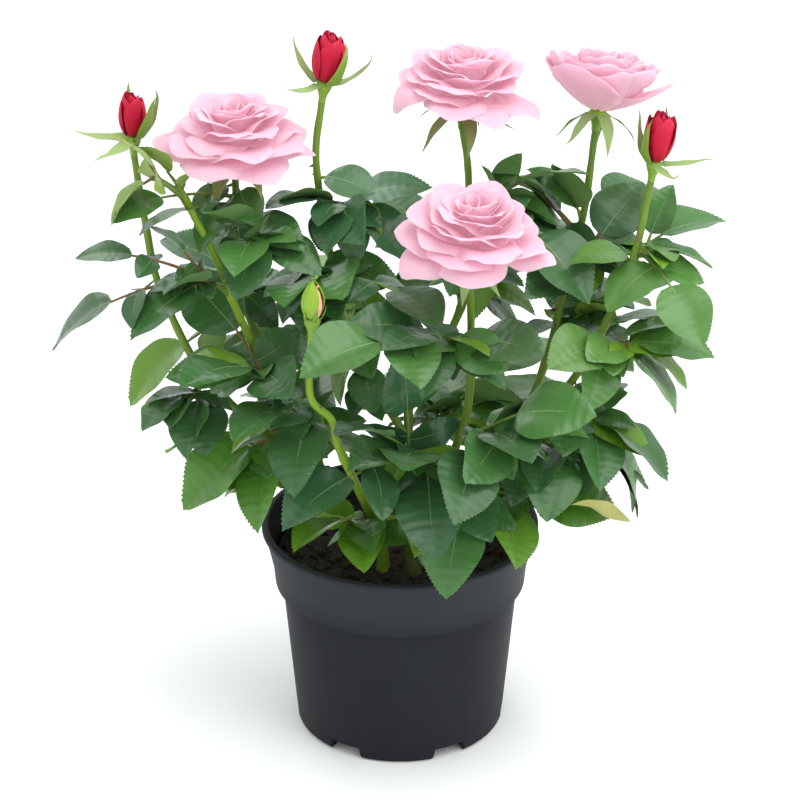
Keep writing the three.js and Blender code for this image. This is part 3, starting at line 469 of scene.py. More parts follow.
def blade_faces(rows, top_columns, under_columns):
    """A closed blade: root and tip points, an upper side and an underside with one rim."""
    width = top_columns + 1

    def top(row, column):
        return 2 + (row - 1) * width + column

    def under(row, column):
        if column in (0, under_columns):
            return top(row, 0 if column == 0 else top_columns)
        return 2 + (rows - 1) * width + (row - 1) * (under_columns - 1) + column - 1

    faces, kinds = [], []
    for place, columns, kind in ((top, top_columns, 0), (under, under_columns, 1)):
        for column in range(columns):
            faces.append((0, place(1, column + 1), place(1, column)))
            faces.append((place(rows - 1, column), place(rows - 1, column + 1), 1))
            kinds += [kind, kind]
            for row in range(1, rows - 1):
                faces.append((place(row, column), place(row, column + 1),
                              place(row + 1, column + 1), place(row + 1, column)))
                kinds.append(kind)
    turned = [face if kind == 0 else face[::-1] for face, kind in zip(faces, kinds)]
    return Faces(turned, kinds)


def tube_faces(rings, sides):
    """A closed tube: a point at each end and rings of corners between."""
    faces = []
    for side in range(sides):
        after = (side + 1) % sides
        faces.append((0, 2 + after, 2 + side))
        for ring in range(rings - 1):
            low = 2 + ring * sides
            faces.append((low + side, low + after, low + sides + after, low + sides + side))
        low = 2 + (rings - 1) * sides
        faces.append((low + side, low + after, 1))
    return Faces(faces, [0] * len(faces))


class Heap:
    """Shapes gathered into one joined mesh."""

    def __init__(self):
        self.points, self.corners, self.sizes, self.kinds, self.tints = [], [], [], [], []
        self.count = 0

    def add(self, points, faces, kind=0, tints=None):
        self.points.append(points)
        self.corners.append(faces.corners + self.count)
        self.sizes.append(faces.sizes)
        self.kinds.append(faces.kinds + kind)
        self.tints.append(np.zeros((len(points), 2)) if tints is None else tints)
        self.count += len(points)

    def piece(self, name, materials, slot, nodes, smooth_angle=50):
        points = np.concatenate(self.points) * MM
        corners = np.concatenate(self.corners)
        sizes = np.concatenate(self.sizes)
        mesh = bpy.data.meshes.new(name)
        mesh.vertices.add(len(points))
        mesh.vertices.foreach_set("co", points.ravel())
        mesh.loops.add(len(corners))
        mesh.loops.foreach_set("vertex_index", corners)
        mesh.polygons.add(len(sizes))
        mesh.polygons.foreach_set("loop_start", np.concatenate([[0], np.cumsum(sizes)[:-1]]))
        mesh.polygons.foreach_set("material_index", np.concatenate(self.kinds))
        tints = np.concatenate(self.tints)
        for column, label in enumerate(("reach", "depth")):
            layer = mesh.attributes.new(label, "FLOAT", "POINT")
            layer.data.foreach_set("value", tints[:, column].astype(np.float32))
        for material in materials:
            mesh.materials.append(material)
        mesh.update(calc_edges=True)
        mesh.validate()
        piece = new_object(name, mesh)
        smooth(piece, smooth_angle)
        return place(piece, slot, nodes)


def new_object(name, data):
    made = bpy.data.objects.new(name, data)
    bpy.context.collection.objects.link(made)
    return made


def deselect():
    bpy.ops.object.select_all(action="DESELECT")


def only(piece):
    deselect()
    piece.select_set(True)
    bpy.context.view_layer.objects.active = piece


def smooth(piece, angle):
    only(piece)
    bpy.ops.object.shade_smooth_by_angle(angle=angle * RAD)


def dress(piece, material, angle):
    """One material for a piece that was modelled by hand, and smooth shading up to an angle."""
    smooth(piece, angle)
    piece.data.materials.clear()
    piece.data.materials.append(material)


def place(piece, slot, nodes):
    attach(piece, "root")
    if nodes:
        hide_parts(*nodes)
    return piece


def line_of(curve, shares):
    return np.array([curve.at(share) for share in shares])


def frames_along(centres):
    """Two directions square to each step of a line of places, without sudden turns."""
    headings = np.gradient(centres, axis=0)
    headings /= np.linalg.norm(headings, axis=1)[:, None]
    side = square_to(BACK if abs(headings[0][1]) < 0.9 else UP, headings[0])
    sides = []
    for heading in headings:
        side = square_to(side, heading)
        sides.append(side)
    sides = np.array(sides)
    return headings, sides, np.cross(headings, sides)


TUBES = {}


def add_tube(heap, centres, radii, sides, kind=0):
    """A closed round tube. A radius is one number for each ring, or one for each corner."""
    centres = np.asarray(centres)
    headings, across, upward = frames_along(centres)
    angles = np.arange(sides) * 2 * math.pi / sides
    radii = np.asarray(radii, float)
    if radii.ndim == 1:
        radii = np.repeat(radii[:, None], sides, axis=1)
    ring = (across[:, None] * np.cos(angles)[None, :, None]
            + upward[:, None] * np.sin(angles)[None, :, None])
    corners = centres[:, None] + ring * radii[:, :, None]
    ends = [centres[0] - headings[0] * radii[0].mean() * 0.3,
            centres[-1] + headings[-1] * radii[-1].mean() * 0.6]
    key = (len(centres), sides)
    if key not in TUBES:
        TUBES[key] = tube_faces(*key)
    heap.add(np.concatenate([ends, corners.reshape(-1, 3)]), TUBES[key], kind)


# Materials

class Wire:
    """A socket of a material's nodes, for use in plain expressions."""

    def __init__(self, finish, socket):
        self.finish, self.socket = finish, socket

    def maths(self, operation, one, other):
        return self.finish.node("Math", {"operation": operation}, {0: one, 1: other})

    def __radd__(self, other):
        return self.maths("ADD", other, self)

    def __mul__(self, other):
        return self.maths("MULTIPLY", self, other)


class Finish:
    """A procedural material."""

    def __init__(self, name):
        self.material = bpy.data.materials.new(name)
        self.material.use_nodes = True
        self.tree = self.material.node_tree
        self.tree.nodes.clear()

    def node(self, kind, settings=None, values=None, output=0):
        node = self.tree.nodes.new("ShaderNode" + kind)
        for name, value in (settings or {}).items():
            if name == "stops":
                self.set_stops(node.color_ramp, value)
            else:
                setattr(node, name, value)
        for name, value in (values or {}).items():
            if isinstance(value, Wire):
                self.tree.links.new(value.socket, node.inputs[name])
            else:
                node.inputs[name].default_value = value
        return Wire(self, node.outputs[output]) if node.outputs else None

    def set_stops(self, ramp, stops):
        while len(ramp.elements) < len(stops):
            ramp.elements.new(0.5)
        for element, (position, colour) in zip(ramp.elements, stops):
            element.position = position
            element.color = (*colour, 1)

    def object_place(self):
        return self.node("TexCoord", output="Object")

    def rise(self, low, high):
        """From 0 at one height to 1 at another, in metres."""
        height = self.node("SeparateXYZ", {}, {0: self.object_place()}, output=2)
        return self.node("MapRange", {}, {0: height, 1: low, 2: high, 3: 0.0, 4: 1.0})

    def attribute(self, name):
        return self.node("Attribute", {"attribute_name": name}, output="Fac")

    def noise(self, scale, detail=2.0, stretch=(1, 1, 1)):
        where = self.node("Mapping", {}, {"Vector": self.object_place(), "Scale": stretch})
        return self.node("TexNoise", {}, {"Vector": where, "Scale": scale, "Detail": detail})

    def ramp(self, factor, stops):
        return self.node("ValToRGB", {"stops": stops}, {"Fac": factor})

    def mix(self, factor, one, other):
        one = one if isinstance(one, Wire) else (*one, 1)
        other = other if isinstance(other, Wire) else (*other, 1)
        return self.node("Mix", {"data_type": "RGBA"}, {0: factor, 6: one, 7: other}, output=2)

    def bump(self, height, strength, distance):
        return self.node("Bump", {}, {"Height": height, "Strength": strength, "Distance": distance})

    def end(self, shine=0.5, **values):
        named = {name.replace("_", " "): value for name, value in values.items()}
        surface = self.node("BsdfPrincipled", {}, {"Specular IOR Level": shine, **named})
        self.node("OutputMaterial", {}, {"Surface": surface})
        return self.material


def pot_finish():
    """Matt black plastic with a fine grain, and painted light that makes its collar and rim lighter."""
    finish = Finish("pot_black")
    grain = finish.noise(1800, 3)
    cloud = finish.noise(26, 3)
    # Painted light: the collar and rim are lighter than the body, as where light from above falls on
    # them
    painted_light_on_collar = finish.rise(0.070, 0.084)
    plain = finish.mix(cloud, (0.014, 0.0155, 0.018), (0.020, 0.022, 0.026))
    colour = finish.mix(painted_light_on_collar, plain, (0.029, 0.032, 0.036))
    return finish.end(shine=0.06, Base_Color=colour, Roughness=0.46 + cloud * 0.14,
                      Normal=finish.bump(grain, 0.12, 0.0002))


def soil_finish(name, dark, light):
    """Dark peaty compost."""
    finish = Finish(name)
    lumps = finish.noise(420, 5)
    colour = finish.mix(finish.noise(150, 4), dark, light)
    return finish.end(Base_Color=colour, Roughness=0.95, Normal=finish.bump(lumps, 0.6, 0.001))


def bark_finish(name, low, high, streak):
    """Green rind, browner towards the foot, with fine lengthwise streaks."""
    finish = Finish(name)
    rise = finish.rise(0.088, 0.16)
    streaks = finish.noise(900, 3, (1, 1, 0.06))
    blotches = finish.noise(75, 3)
    rind = finish.mix(rise, low, high)
    colour = finish.mix(blotches * streaks * 1.1, rind, streak)
    return finish.end(shine=0.3, Base_Color=colour, Roughness=0.34 + blotches * 0.2,
                      Normal=finish.bump(streaks, 0.25, 0.0003))


LEAF_CLOUDS = 0.16


def leaf_finish(name, colour, gloss):
    """One side of the leaves: one plain colour that clouds a little."""
    finish = Finish(name)
    cloud = finish.noise(70, 3)
    dark = tuple(c * (1 - LEAF_CLOUDS) for c in colour)
    light = tuple(c * (1 + LEAF_CLOUDS) for c in colour)
    fine = finish.noise(900, 2)
    return finish.end(shine=0.42, Base_Color=finish.mix(cloud, dark, light),
                      Roughness=gloss + cloud * 0.12, Normal=finish.bump(fine, 0.1, 0.0003))


def leaf_sides(name, upper, under):
    return [leaf_finish("leaf_" + name, upper, LEAF_GLOSS),
            leaf_finish("leaf_under_" + name, under, UNDERSIDE_GLOSS)]


def petal_finish(name, foot, body, rim, heart, glow, painted_glow):
    """One side of the petals: from the foot to the rim, and deeper towards the heart.
    Its painted glow, an emission that is no lamp, stands in for the light that comes through thin petals
    into the hollows between them."""
    finish = Finish(name)
    reach = finish.attribute("reach")
    depth = finish.attribute("depth")
    spread = finish.ramp(reach, [(0.02, foot), (0.34, body), (0.7, body), (1.0, rim)])
    inner = finish.ramp(reach, [(0.0, heart), (0.62, body), (1.0, rim)])
    colour = finish.mix(depth, spread, inner)
    veins = finish.noise(600, 2, (1, 1, 0.2))
    deeper = finish.mix(finish.noise(40, 2) * 0.35, colour, body)
    # Painted glow: the constant emission colour lightens the petals and the hollows between them
    return finish.end(shine=0.25, Base_Color=deeper, Roughness=0.55, Subsurface_Weight=glow,
                      Emission_Color=(*painted_glow, 1), Emission_Strength=1.0,
                      Subsurface_Radius=(1.0, 0.6, 0.7), Subsurface_Scale=0.0022,
                      Normal=finish.bump(veins, 0.06, 0.0003))


# The tones of the leaves, three for each kind: the colours of the upper side and of the underside
LEAF_TONES = {
    "deep": [((0.047, 0.140, 0.034), (0.14, 0.27, 0.08)), ((0.064, 0.178, 0.038), (0.16, 0.30, 0.09)),
             ((0.040, 0.114, 0.034), (0.13, 0.25, 0.08))],
    "blue": [((0.036, 0.112, 0.040), (0.13, 0.25, 0.09)), ((0.048, 0.136, 0.044), (0.14, 0.27, 0.10)),
             ((0.060, 0.168, 0.042), (0.16, 0.30, 0.09))],
    "mid": [((0.080, 0.205, 0.040), (0.17, 0.32, 0.09)), ((0.060, 0.172, 0.038), (0.16, 0.30, 0.08)),
            ((0.096, 0.222, 0.044), (0.20, 0.35, 0.10))],
    "fresh": [((0.088, 0.235, 0.030), (0.20, 0.36, 0.07)), ((0.068, 0.200, 0.036), (0.17, 0.32, 0.07)),
              ((0.115, 0.270, 0.030), (0.23, 0.39, 0.07))],
    "low": [((0.055, 0.165, 0.012), (0.14, 0.27, 0.03)), ((0.100, 0.240, 0.016), (0.21, 0.36, 0.04)),
            ((0.060, 0.160, 0.024), (0.15, 0.28, 0.05))],
    "young": [((0.170, 0.340, 0.026), (0.27, 0.44, 0.07)), ((0.125, 0.285, 0.028), (0.23, 0.40, 0.07)),
              ((0.210, 0.330, 0.045), (0.31, 0.42, 0.10))],
}
# Every tone has a few leaves of this yellow green
LIME_TONE = ((0.130, 0.275, 0.020), (0.25, 0.41, 0.06))
LIME_SHARE = 0.18
LEAF_GLOSS = 0.23
UNDERSIDE_GLOSS = 0.55


# Pot

def spun(name, profile):
    """A piece turned on a lathe from its outline of radii and heights, in millimetres."""
    deselect()
    radius, height = profile[0]
    bpy.ops.mesh.primitive_plane_add(size=2 * MM, location=(radius * MM, 0, height * MM))
    piece = bpy.context.object
    piece.name = name
    bpy.ops.object.mode_set(mode="EDIT")
    bpy.ops.mesh.select_all(action="SELECT")
    bpy.ops.mesh.merge(type="CENTER")
    for (r, h), (next_r, next_h) in zip(profile, profile[1:]):
        move = ((next_r - r) * MM, 0, (next_h - h) * MM)
        bpy.ops.mesh.extrude_vertices_move(TRANSFORM_OT_translate={"value": move})
    bpy.ops.mesh.select_all(action="SELECT")
    bpy.ops.mesh.spin(steps=POT_STEPS, angle=2 * math.pi, center=(0, 0, 0), axis=(0, 0, 1))
    bpy.ops.mesh.select_all(action="SELECT")
    bpy.ops.mesh.remove_doubles(threshold=0.01 * MM)
    bpy.ops.mesh.normals_make_consistent(inside=False)
    bpy.ops.object.mode_set(mode="OBJECT")
    bpy.ops.object.transform_apply(location=True, rotation=True, scale=True)
    return piece


def apply_modifier(piece, kind, **settings):
    only(piece)
    modifier = piece.modifiers.new(kind.lower(), kind)
    for name, value in settings.items():
        setattr(modifier, name, value)
    bpy.ops.object.modifier_apply(modifier=modifier.name)


def notch_cutter(turn):
    """A tapered block that cuts one notch in the pot's foot."""
    deselect()
    bpy.ops.mesh.primitive_cube_add(size=1)
    cutter = bpy.context.object
    bpy.ops.object.mode_set(mode="EDIT")
    bpy.ops.mesh.select_all(action="SELECT")
    size = (FOOT_WIDTH * 3 * MM, NOTCH_WIDTH * MM, FLOOR_HEIGHT * 2 * MM)
    bpy.ops.transform.resize(value=size, center_override=(0, 0, 0))
    bpy.ops.transform.translate(value=(BASE_RADIUS * MM, 0, 0))
    bpy.ops.object.mode_set(mode="OBJECT")
    for vertex in cutter.data.vertices:
        vertex.co.y *= 0.86 if vertex.co.z > 0 else 1.1
    cutter.rotation_euler = (0, 0, turn)
    bpy.ops.object.transform_apply(location=True, rotation=True, scale=True)
    return cutter


def make_pot():
    lip_bottom = POT_HEIGHT - LIP_HEIGHT
    collar_bottom = POT_HEIGHT - COLLAR_DEPTH
    collar_top = RIM_RADIUS - LIP_STEP
    soil_side = COLLAR_RADIUS + 2
    profile = [
        (0, 0),
        (PAD_RADIUS, 0),
        (PAD_RADIUS + 2, FLOOR_HEIGHT),
        (BASE_RADIUS - FOOT_WIDTH, FLOOR_HEIGHT),
        (BASE_RADIUS - FOOT_WIDTH + 1, 0),
        (BASE_RADIUS - 1.5, 0),
        (BASE_RADIUS, 1.5),
        (BODY_TOP_RADIUS - 0.3, collar_bottom - 4),
        (BODY_TOP_RADIUS, collar_bottom - 1.5),
        (COLLAR_RADIUS - 0.4, collar_bottom - 0.4),
        (COLLAR_RADIUS, collar_bottom),
        (COLLAR_RADIUS + 0.25, collar_bottom + 1),
        (collar_top, lip_bottom),
        (RIM_RADIUS - 0.4, lip_bottom),
        (RIM_RADIUS, lip_bottom + 0.5),
        (RIM_RADIUS, POT_HEIGHT - 0.9),
        (RIM_RADIUS - 0.3, POT_HEIGHT - 0.3),
        (RIM_RADIUS - 1.0, POT_HEIGHT),
        (collar_top - POT_WALL, POT_HEIGHT),
        (collar_top - POT_WALL - 0.4, POT_HEIGHT - 0.5),
        (soil_side - POT_WALL, SOIL_TOP - SOIL_DEPTH),
        (COLLAR_RADIUS - POT_WALL, collar_bottom),
        (BODY_TOP_RADIUS - POT_WALL, collar_bottom - 1.5),
        (BASE_RADIUS - POT_WALL - 0.5, FLOOR_HEIGHT + POT_WALL),
        (0, FLOOR_HEIGHT + POT_WALL),
    ]
    pot = spun("nursery_pot", profile)
    for i in range(NOTCH_COUNT):
        cutter = notch_cutter((NOTCH_FIRST + 360 / NOTCH_COUNT * i) * RAD)
        apply_modifier(pot, "BOOLEAN", object=cutter, operation="DIFFERENCE", solver="EXACT")
        bpy.data.objects.remove(cutter)
    apply_modifier(pot, "BEVEL", width=POT_BEVEL * MM, segments=2, limit_method="ANGLE",
                   angle_limit=40 * RAD)
    dress(pot, pot_finish(), 40)
    place(pot, "pot", ["pot"])


def make_compost():
    """The compost's lumpy top, with loose crumbs on it."""
    rings = [(SOIL_RADIUS * (i + 1) / SOIL_RINGS, SOIL_TOP) for i in range(SOIL_RINGS)]
    bottom = SOIL_TOP - SOIL_DEPTH
    profile = [(0, SOIL_TOP), *rings, (SOIL_RADIUS - 1.5, bottom), (0, bottom)]
    soil = spun("compost_top", profile)
    lumps = bpy.data.textures.new("lumps", "CLOUDS")
    lumps.noise_scale = 5 * MM
    lumps.noise_depth = 3
    apply_modifier(soil, "DISPLACE", texture=lumps, direction="Z", strength=4 * MM, mid_level=0.6)
    dress(soil, soil_finish("soil", (0.010, 0.007, 0.005), (0.035, 0.024, 0.016)), 60)
    place(soil, "compost", ["compost"])
    make_crumbs()


def make_crumbs():
    dice = Dice(CRUMB_SEED)
    heap = Heap()
    for _ in range(CRUMB_COUNT):
        turn = dice.roll() * 2 * math.pi
        radius = (SOIL_RADIUS - 2) * math.sqrt(dice.roll())
        size = between(CRUMB_SIZES, dice.roll() ** 2)
        centre = np.array([radius * math.cos(turn), radius * math.sin(turn), SOIL_TOP + size * 0.2])
        heading = unit(np.array([dice.about(1), dice.about(1), dice.about(0.5)]))
        steps = np.array([-0.8, -0.3, 0.35, 0.8])[:, None] * heading * size
        widths = np.array([0.5, 0.95, 0.85, 0.4])[:, None] * size
        uneven = np.array([[dice.within(0.7, 1.15) for _ in range(6)] for _ in range(4)])
        add_tube(heap, centre + steps, widths * uneven, 6)
    crumb = soil_finish("crumbs", (0.016, 0.010, 0.007), (0.060, 0.040, 0.024))
    heap.piece("compost_crumbs", [crumb], "compost", ["compost"], smooth_angle=30)


# Stems and canes

RIND_OLD, RIND_YOUNG, RIND_GREEN = range(3)
LIMB_RINDS = {"cane_bud_front": RIND_YOUNG, "cane_young_left": RIND_YOUNG,
              "cane_bud_top": RIND_GREEN, "cane_bud_left": RIND_GREEN}


def limb_paths():
    paths = {}
    for name, stem in {**STEMS, **CANES}.items():
        rest = stem["by"]
        if "foot" in stem:
            ground = (*stem["foot"], SOIL_TOP + GAP)
            above = (*stem["foot"], SOIL_TOP + GAP + FOOT_RISE)
            radii = (STEM_TIP_RADIUS, CANE_TIP_RADIUS)
            if name in STEMS:
                radii = (STEM_FOOT_RADIUS, STEM_TIP_RADIUS)
            paths[name] = Path([ground, above, *rest], *radii)
        else:
            start = paths[stem["on"]].along(stem["at"])
            paths[name] = Path([start, *rest], CANE_FOOT_RADIUS, CANE_TIP_RADIUS)
    return paths


def limb_nodes(name, path):
    """How far up its limb each shoot or cane stands, for the swellings there."""
    places = [mass["at"] for mass in MASSES.values() if mass["on"] == name]
    places += [cane["at"] for cane in CANES.values() if cane["on"] == name and cane["at"] < 1]
    return [at * path.length for at in places]


def make_limbs(paths):
    """Stems and canes with ribs, swollen nodes and a flared foot."""
    heap = Heap()
    for number, (name, path) in enumerate(paths.items()):
        dice = Dice(LIMB_SEED + number)
        shares = np.linspace(0, 1, int(path.length / LIMB_STEP) + 1)
        centres = np.array([path.along(share) for share in shares])
        far = shares * path.length
        radii = (path.foot_radius + (path.tip_radius - path.foot_radius) * shares) * LIMB_SLIMNESS
        for node in limb_nodes(name, path):
            radii = radii + NODE_SWELLING * np.exp(-((far - node) / NODE_REACH) ** 2)
        if "foot" in {**STEMS, **CANES}[name]:
            radii = radii + FLARE_SWELLING * np.exp(-far / FLARE_REACH)
            centres[0][2] -= FOOT_SUNK
        wander = 0.05 * np.sin(far / 3.7 + dice.roll() * 6)
        wander = wander + 0.04 * np.sin(far / 1.9 + dice.roll() * 6)
        angles = np.arange(LIMB_SIDES) * 2 * math.pi / LIMB_SIDES
        twist = far[:, None] / 60 + dice.roll() * 6
        ribs = 0.035 * np.cos(5 * angles[None] + 5 * twist) + 0.02 * np.cos(3 * angles[None] - twist)
        uneven = (radii + wander)[:, None] * (1 + ribs)
        add_tube(heap, centres, uneven, LIMB_SIDES, LIMB_RINDS.get(name, RIND_OLD))
    finishes = [
        bark_finish("rind_old", (0.085, 0.080, 0.030), (0.165, 0.275, 0.030), (0.085, 0.160, 0.018)),
        bark_finish("rind_young", (0.150, 0.260, 0.020), (0.260, 0.420, 0.030), (0.150, 0.290, 0.020)),
        bark_finish("rind_green", (0.090, 0.130, 0.025), (0.180, 0.300, 0.035), (0.110, 0.200, 0.020)),
    ]
    heap.piece("stems_and_canes", finishes, "stem", list(paths))


def make_prickles(paths):
    """A few small hooked prickles on the canes."""
    heap = Heap()
    for number, (name, path) in enumerate(paths.items()):
        dice = Dice(PRICKLE_SEED + number)
        for _ in range(int(path.length / PRICKLE_SPACING)):
            share = dice.within(0.08, 0.92)
            centre = path.along(share)
            heading = unit(path.along(min(share + 0.01, 1)) - centre)
            turn = dice.roll() * 2 * math.pi
            across = turned_about(square_to(BACK, heading), heading, turn)
            radius = between((path.foot_radius, path.tip_radius), share)
            size = dice.within(*PRICKLE_SIZES)
            shares = np.array([0, 0.35, 0.7, 1])[:, None]
            line = centre + across * (radius * 0.8 + size * shares) - heading * size * 0.5 * shares ** 2
            add_tube(heap, line, np.array([0.75, 0.42, 0.2, 0.05]), 6)
    finish = bark_finish("prickle", (0.16, 0.09, 0.04), (0.20, 0.15, 0.06), (0.10, 0.05, 0.03))
    heap.piece("prickles", [finish], "stem", [])


# The leaf rule

def leaf_dice(seed, shoot, index, attempt):
    return Dice(seed + shoot["number"] * MASS_STEP + index * LEAF_STEP + attempt * TRY_STEP)


def leaflet_sag(share):
    return LEAFLET_DROOP * share * (2 - 3 * share)


def plan_leaf(start, tip, dice, longest=LEAFLET_LONGEST):
    """One compound leaf: its curve, the end of its stalk, and its leaflets."""
    reach = np.linalg.norm(tip - start)
    middle = (start + tip) / 2 + UP * reach * LEAF_ARCH
    curve = Bow(start, middle, tip)
    length = min(longest, reach * LEAFLET_SHARE) * (0.94 + 0.12 * dice.roll())
    stalk = max(reach - length, 1)
    outward = unit(np.array([tip[0], tip[1], 0]))
    roll = (dice.roll() - 0.5) * 0.5
    skyward = UP + outward * SKYWARD_LEAN

    def face_of(along):
        return turned_about(square_to(skyward, along), along, roll)

    end = stalk / reach
    along = unit(tip - curve.at(end))
    leaflets = [{"root": curve.at(end) - along * TIP_SUNK, "along": along, "face": face_of(along),
                 "length": length + TIP_SUNK}]
    is_short = stalk < PAIR_FIRST * length + PAIR_STALK
    for pair, size in enumerate(SIDE_LEAFLET_SIZES):
        back = min(PAIR_FIRST * length, stalk * STALK_SHARE) + PAIR_STEP * length * pair
        for side in (1, -1):
            short_turn = SHORT_STALK_TURN if is_short else 0
            turn = (SIDE_LEAFLET_ANGLE + short_turn + (dice.roll() - 0.5) * 12) * RAD
            drop = (4 + dice.roll() * 18) * RAD
            scale = size * (SHORT_STALK_SIZE if is_short else 1) * (0.92 + 0.16 * dice.roll())
            if stalk - back < (PAIR_STALK if pair else SHORTEST_STALK):
                continue
            share = (stalk - back + side * PAIR_STAGGER) / reach
            heading = curve.heading(share)
            face = face_of(heading)
            across = np.cross(face, heading) * side
            way = heading * math.cos(turn) + across * math.sin(turn)
            way = unit(way * math.cos(drop) - face * math.sin(drop))
            leaflets.append({"root": curve.at(share) - way * ROOT_SUNK, "along": way,
                             "face": square_to(face, way), "length": length * scale + ROOT_SUNK})
    return {"curve": curve, "end": end, "leaflets": leaflets}


def ruled_tip(end, index, dice, reaches):
    outward = math.atan2(end[1], end[0])
    sweep = ((index * GOLDEN_ANGLE + dice.roll() * 30) % 360) - 180
    heading = outward + sweep * RULED_SPREAD * RAD
    lift = between(RULED_LIFT, dice.roll()) * RAD
    reach = between(reaches, dice.roll())
    return np.array([
        end[0] + math.cos(heading) * math.cos(lift) * reach,
        end[1] + math.sin(heading) * math.cos(lift) * reach,
        max(end[2] + math.sin(lift) * reach, RULED_LOWEST),
    ])


def leaflet_tip(leaflet, is_end):
    """The corner of the solid's blade that marks a leaflet's tip."""
    along, face, length = leaflet["along"], leaflet["face"], leaflet["length"]
    tip = leaflet["root"] + along * length + face * leaflet_sag(1) * length
    if is_end:
        tip = tip + np.cross(face, along) * 0.01 * length + face * LEAFLET_FOLD * 0.01 * length
    return tip


def grown_leaf(shoot, index, wanted_tip, share, corners):
    """The leaf that the solid has at this place of the shoot, found again by its tips."""
    for attempt in range(LEAF_TRIES):
        dice = leaf_dice(SEED, shoot, index, attempt)
        nudge = np.array([dice.roll() - 0.5, dice.roll() - 0.5, dice.roll() - 0.5])
        goal = wanted_tip
        if goal is None:
            goal = ruled_tip(shoot["curve"].at(1), index, dice, RULED_REACH)
        leaf = plan_leaf(shoot["curve"].at(share), goal + nudge * attempt * TRY_NUDGE, dice)
        kept, spare = [], []
        for number, leaflet in enumerate(leaf["leaflets"]):
            tip = leaflet_tip(leaflet, number == 0)
            if np.min(np.linalg.norm(corners - tip, axis=1)) < FOUND_WITHIN:
                kept.append(leaflet)
            elif number == 0:
                break
            else:
                spare.append({**leaflet, "length": leaflet["length"] * SPARE_SIZE})
        if kept:
            leaf["spare"] = spare
            leaf["leaflets"] = kept
            return leaf
    return None


def node_corners(name):
    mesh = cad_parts[name].data
    corners = np.empty(len(mesh.vertices) * 3, np.float32)
    mesh.vertices.foreach_get("co", corners)
    return corners.reshape(-1, 3).astype(float) / MM


def node_tree(name):
    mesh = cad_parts[name].data
    corners = [tuple(corner) for corner in node_corners(name)]
    return BVHTree.FromPolygons(corners, [tuple(face.vertices) for face in mesh.polygons])


def coarse_blade(leaflet):
    """A leaflet's corners and its tree of faces, for the tests of what it would touch."""
    along, face, length = leaflet["along"], leaflet["face"], leaflet["length"]
    across = np.cross(along, face)

    def spot(share, side, lift):
        return leaflet["root"] + (along * share + across * side + face * lift) * length

    edge = [spot(s, side, leaflet_sag(s) + LEAFLET_FOLD * abs(side)) for s, side in LEAFLET_EDGE]
    middle = spot(LEAFLET_MIDDLE, 0, leaflet_sag(LEAFLET_MIDDLE))
    corners = np.array([*edge, middle + face * LEAF_CLEARANCE, middle - face * LEAF_CLEARANCE])
    count = len(edge)
    faces = [(i, (i + 1) % count, count) for i in range(count)]
    faces += [((i + 1) % count, i, count + 1) for i in range(count)]
    return corners, BVHTree.FromPolygons([tuple(corner) for corner in corners], faces)


class Room:
    """What is already there, for a finer leaf to keep clear of."""

    def __init__(self, names):
        self.trees = [(self.box_of(node_corners(name)), node_tree(name), name) for name in names]

    @staticmethod
    def box_of(corners):
        return corners.min(axis=0) - LEAF_CLEARANCE, corners.max(axis=0) + LEAF_CLEARANCE

    def meets(self, corners, tree, own):
        low, high = self.box_of(corners)
        for (other_low, other_high), other, name in self.trees:
            if name == own or np.any(low > other_high) or np.any(high < other_low):
                continue
            if tree.overlap(other):
                return True
        return False

    def add(self, corners, tree):
        self.trees.append((self.box_of(corners), tree, None))


def is_low(spot):
    radius = math.hypot(spot[0], spot[1])
    over_rim = RIM_RADIUS - RIM_INSIDE < radius < RIM_RADIUS + RIM_MARGIN
    near_rim = spot[2] < POT_HEIGHT + RIM_MARGIN and over_rim
    return spot[2] < LEAF_LOWEST or near_rim


def is_clear(corners, tree, room, name):
    """Whether a blade stays above the rim, and meets nothing but the solid of its own mass."""
    return not any(is_low(corner) for corner in corners) and not room.meets(corners, tree, name)


def finer_leaf(shoot, index, share, room, box):
    """One more leaf of the same rule, shorter, where there is room for it."""
    for attempt in range(FINER_TRIES):
        dice = leaf_dice(FINER_SEED, shoot, index, attempt)
        tip = ruled_tip(shoot["curve"].at(share), index + attempt, dice, FINER_REACH)
        leaf = plan_leaf(shoot["curve"].at(share), tip, dice)
        kept, shapes = [], []
        for number, leaflet in enumerate(leaf["leaflets"]):
            corners, tree = coarse_blade(leaflet)
            outside = (np.any(corners < box[0] - FINER_MARGIN)
                       or np.any(corners > box[1] + FINER_MARGIN))
            if not outside and is_clear(corners, tree, room, shoot["name"]):
                kept.append(leaflet)
                shapes.append((corners, tree))
            elif number == 0:
                break
        if kept and len(kept) * 2 >= len(leaf["leaflets"]):
            for corners, tree in shapes:
                room.add(corners, tree)
            leaf["leaflets"] = kept
            return leaf
    return None


def grow_masses(paths):
    """Every mass's shoot with the leaves of its solid and the finer ones."""
    shoots = {}
    for number, (name, mass) in enumerate(MASSES.items()):
        start = paths[mass["on"]].along(mass["at"])
        goal = np.array(mass["end"], float)
        bow = (start + goal) / 2 + UP * np.linalg.norm(goal - start) * SHOOT_BOW
        shoot = {"name": name, "number": number, "curve": Bow(start, bow, goal), "leaves": []}
        corners = node_corners(name)
        tips = mass["tips"]
        for index, tip in enumerate(tips):
            leaf = grown_leaf(shoot, index, np.array(tip, float), 1 - LEAF_PLACES * index, corners)
            shoot["leaves"].append(leaf)
        for k in range(mass["more"]):
            share = between(RULED_PLACES, (k + 0.5) / mass["more"])
            shoot["leaves"].append(grown_leaf(shoot, len(tips) + k, None, share, corners))
        shoot["leaves"] = [leaf for leaf in shoot["leaves"] if leaf]
        shoots[name] = shoot
    grow_finer(shoots)
    grow_placed(shoots, paths)
    return shoots


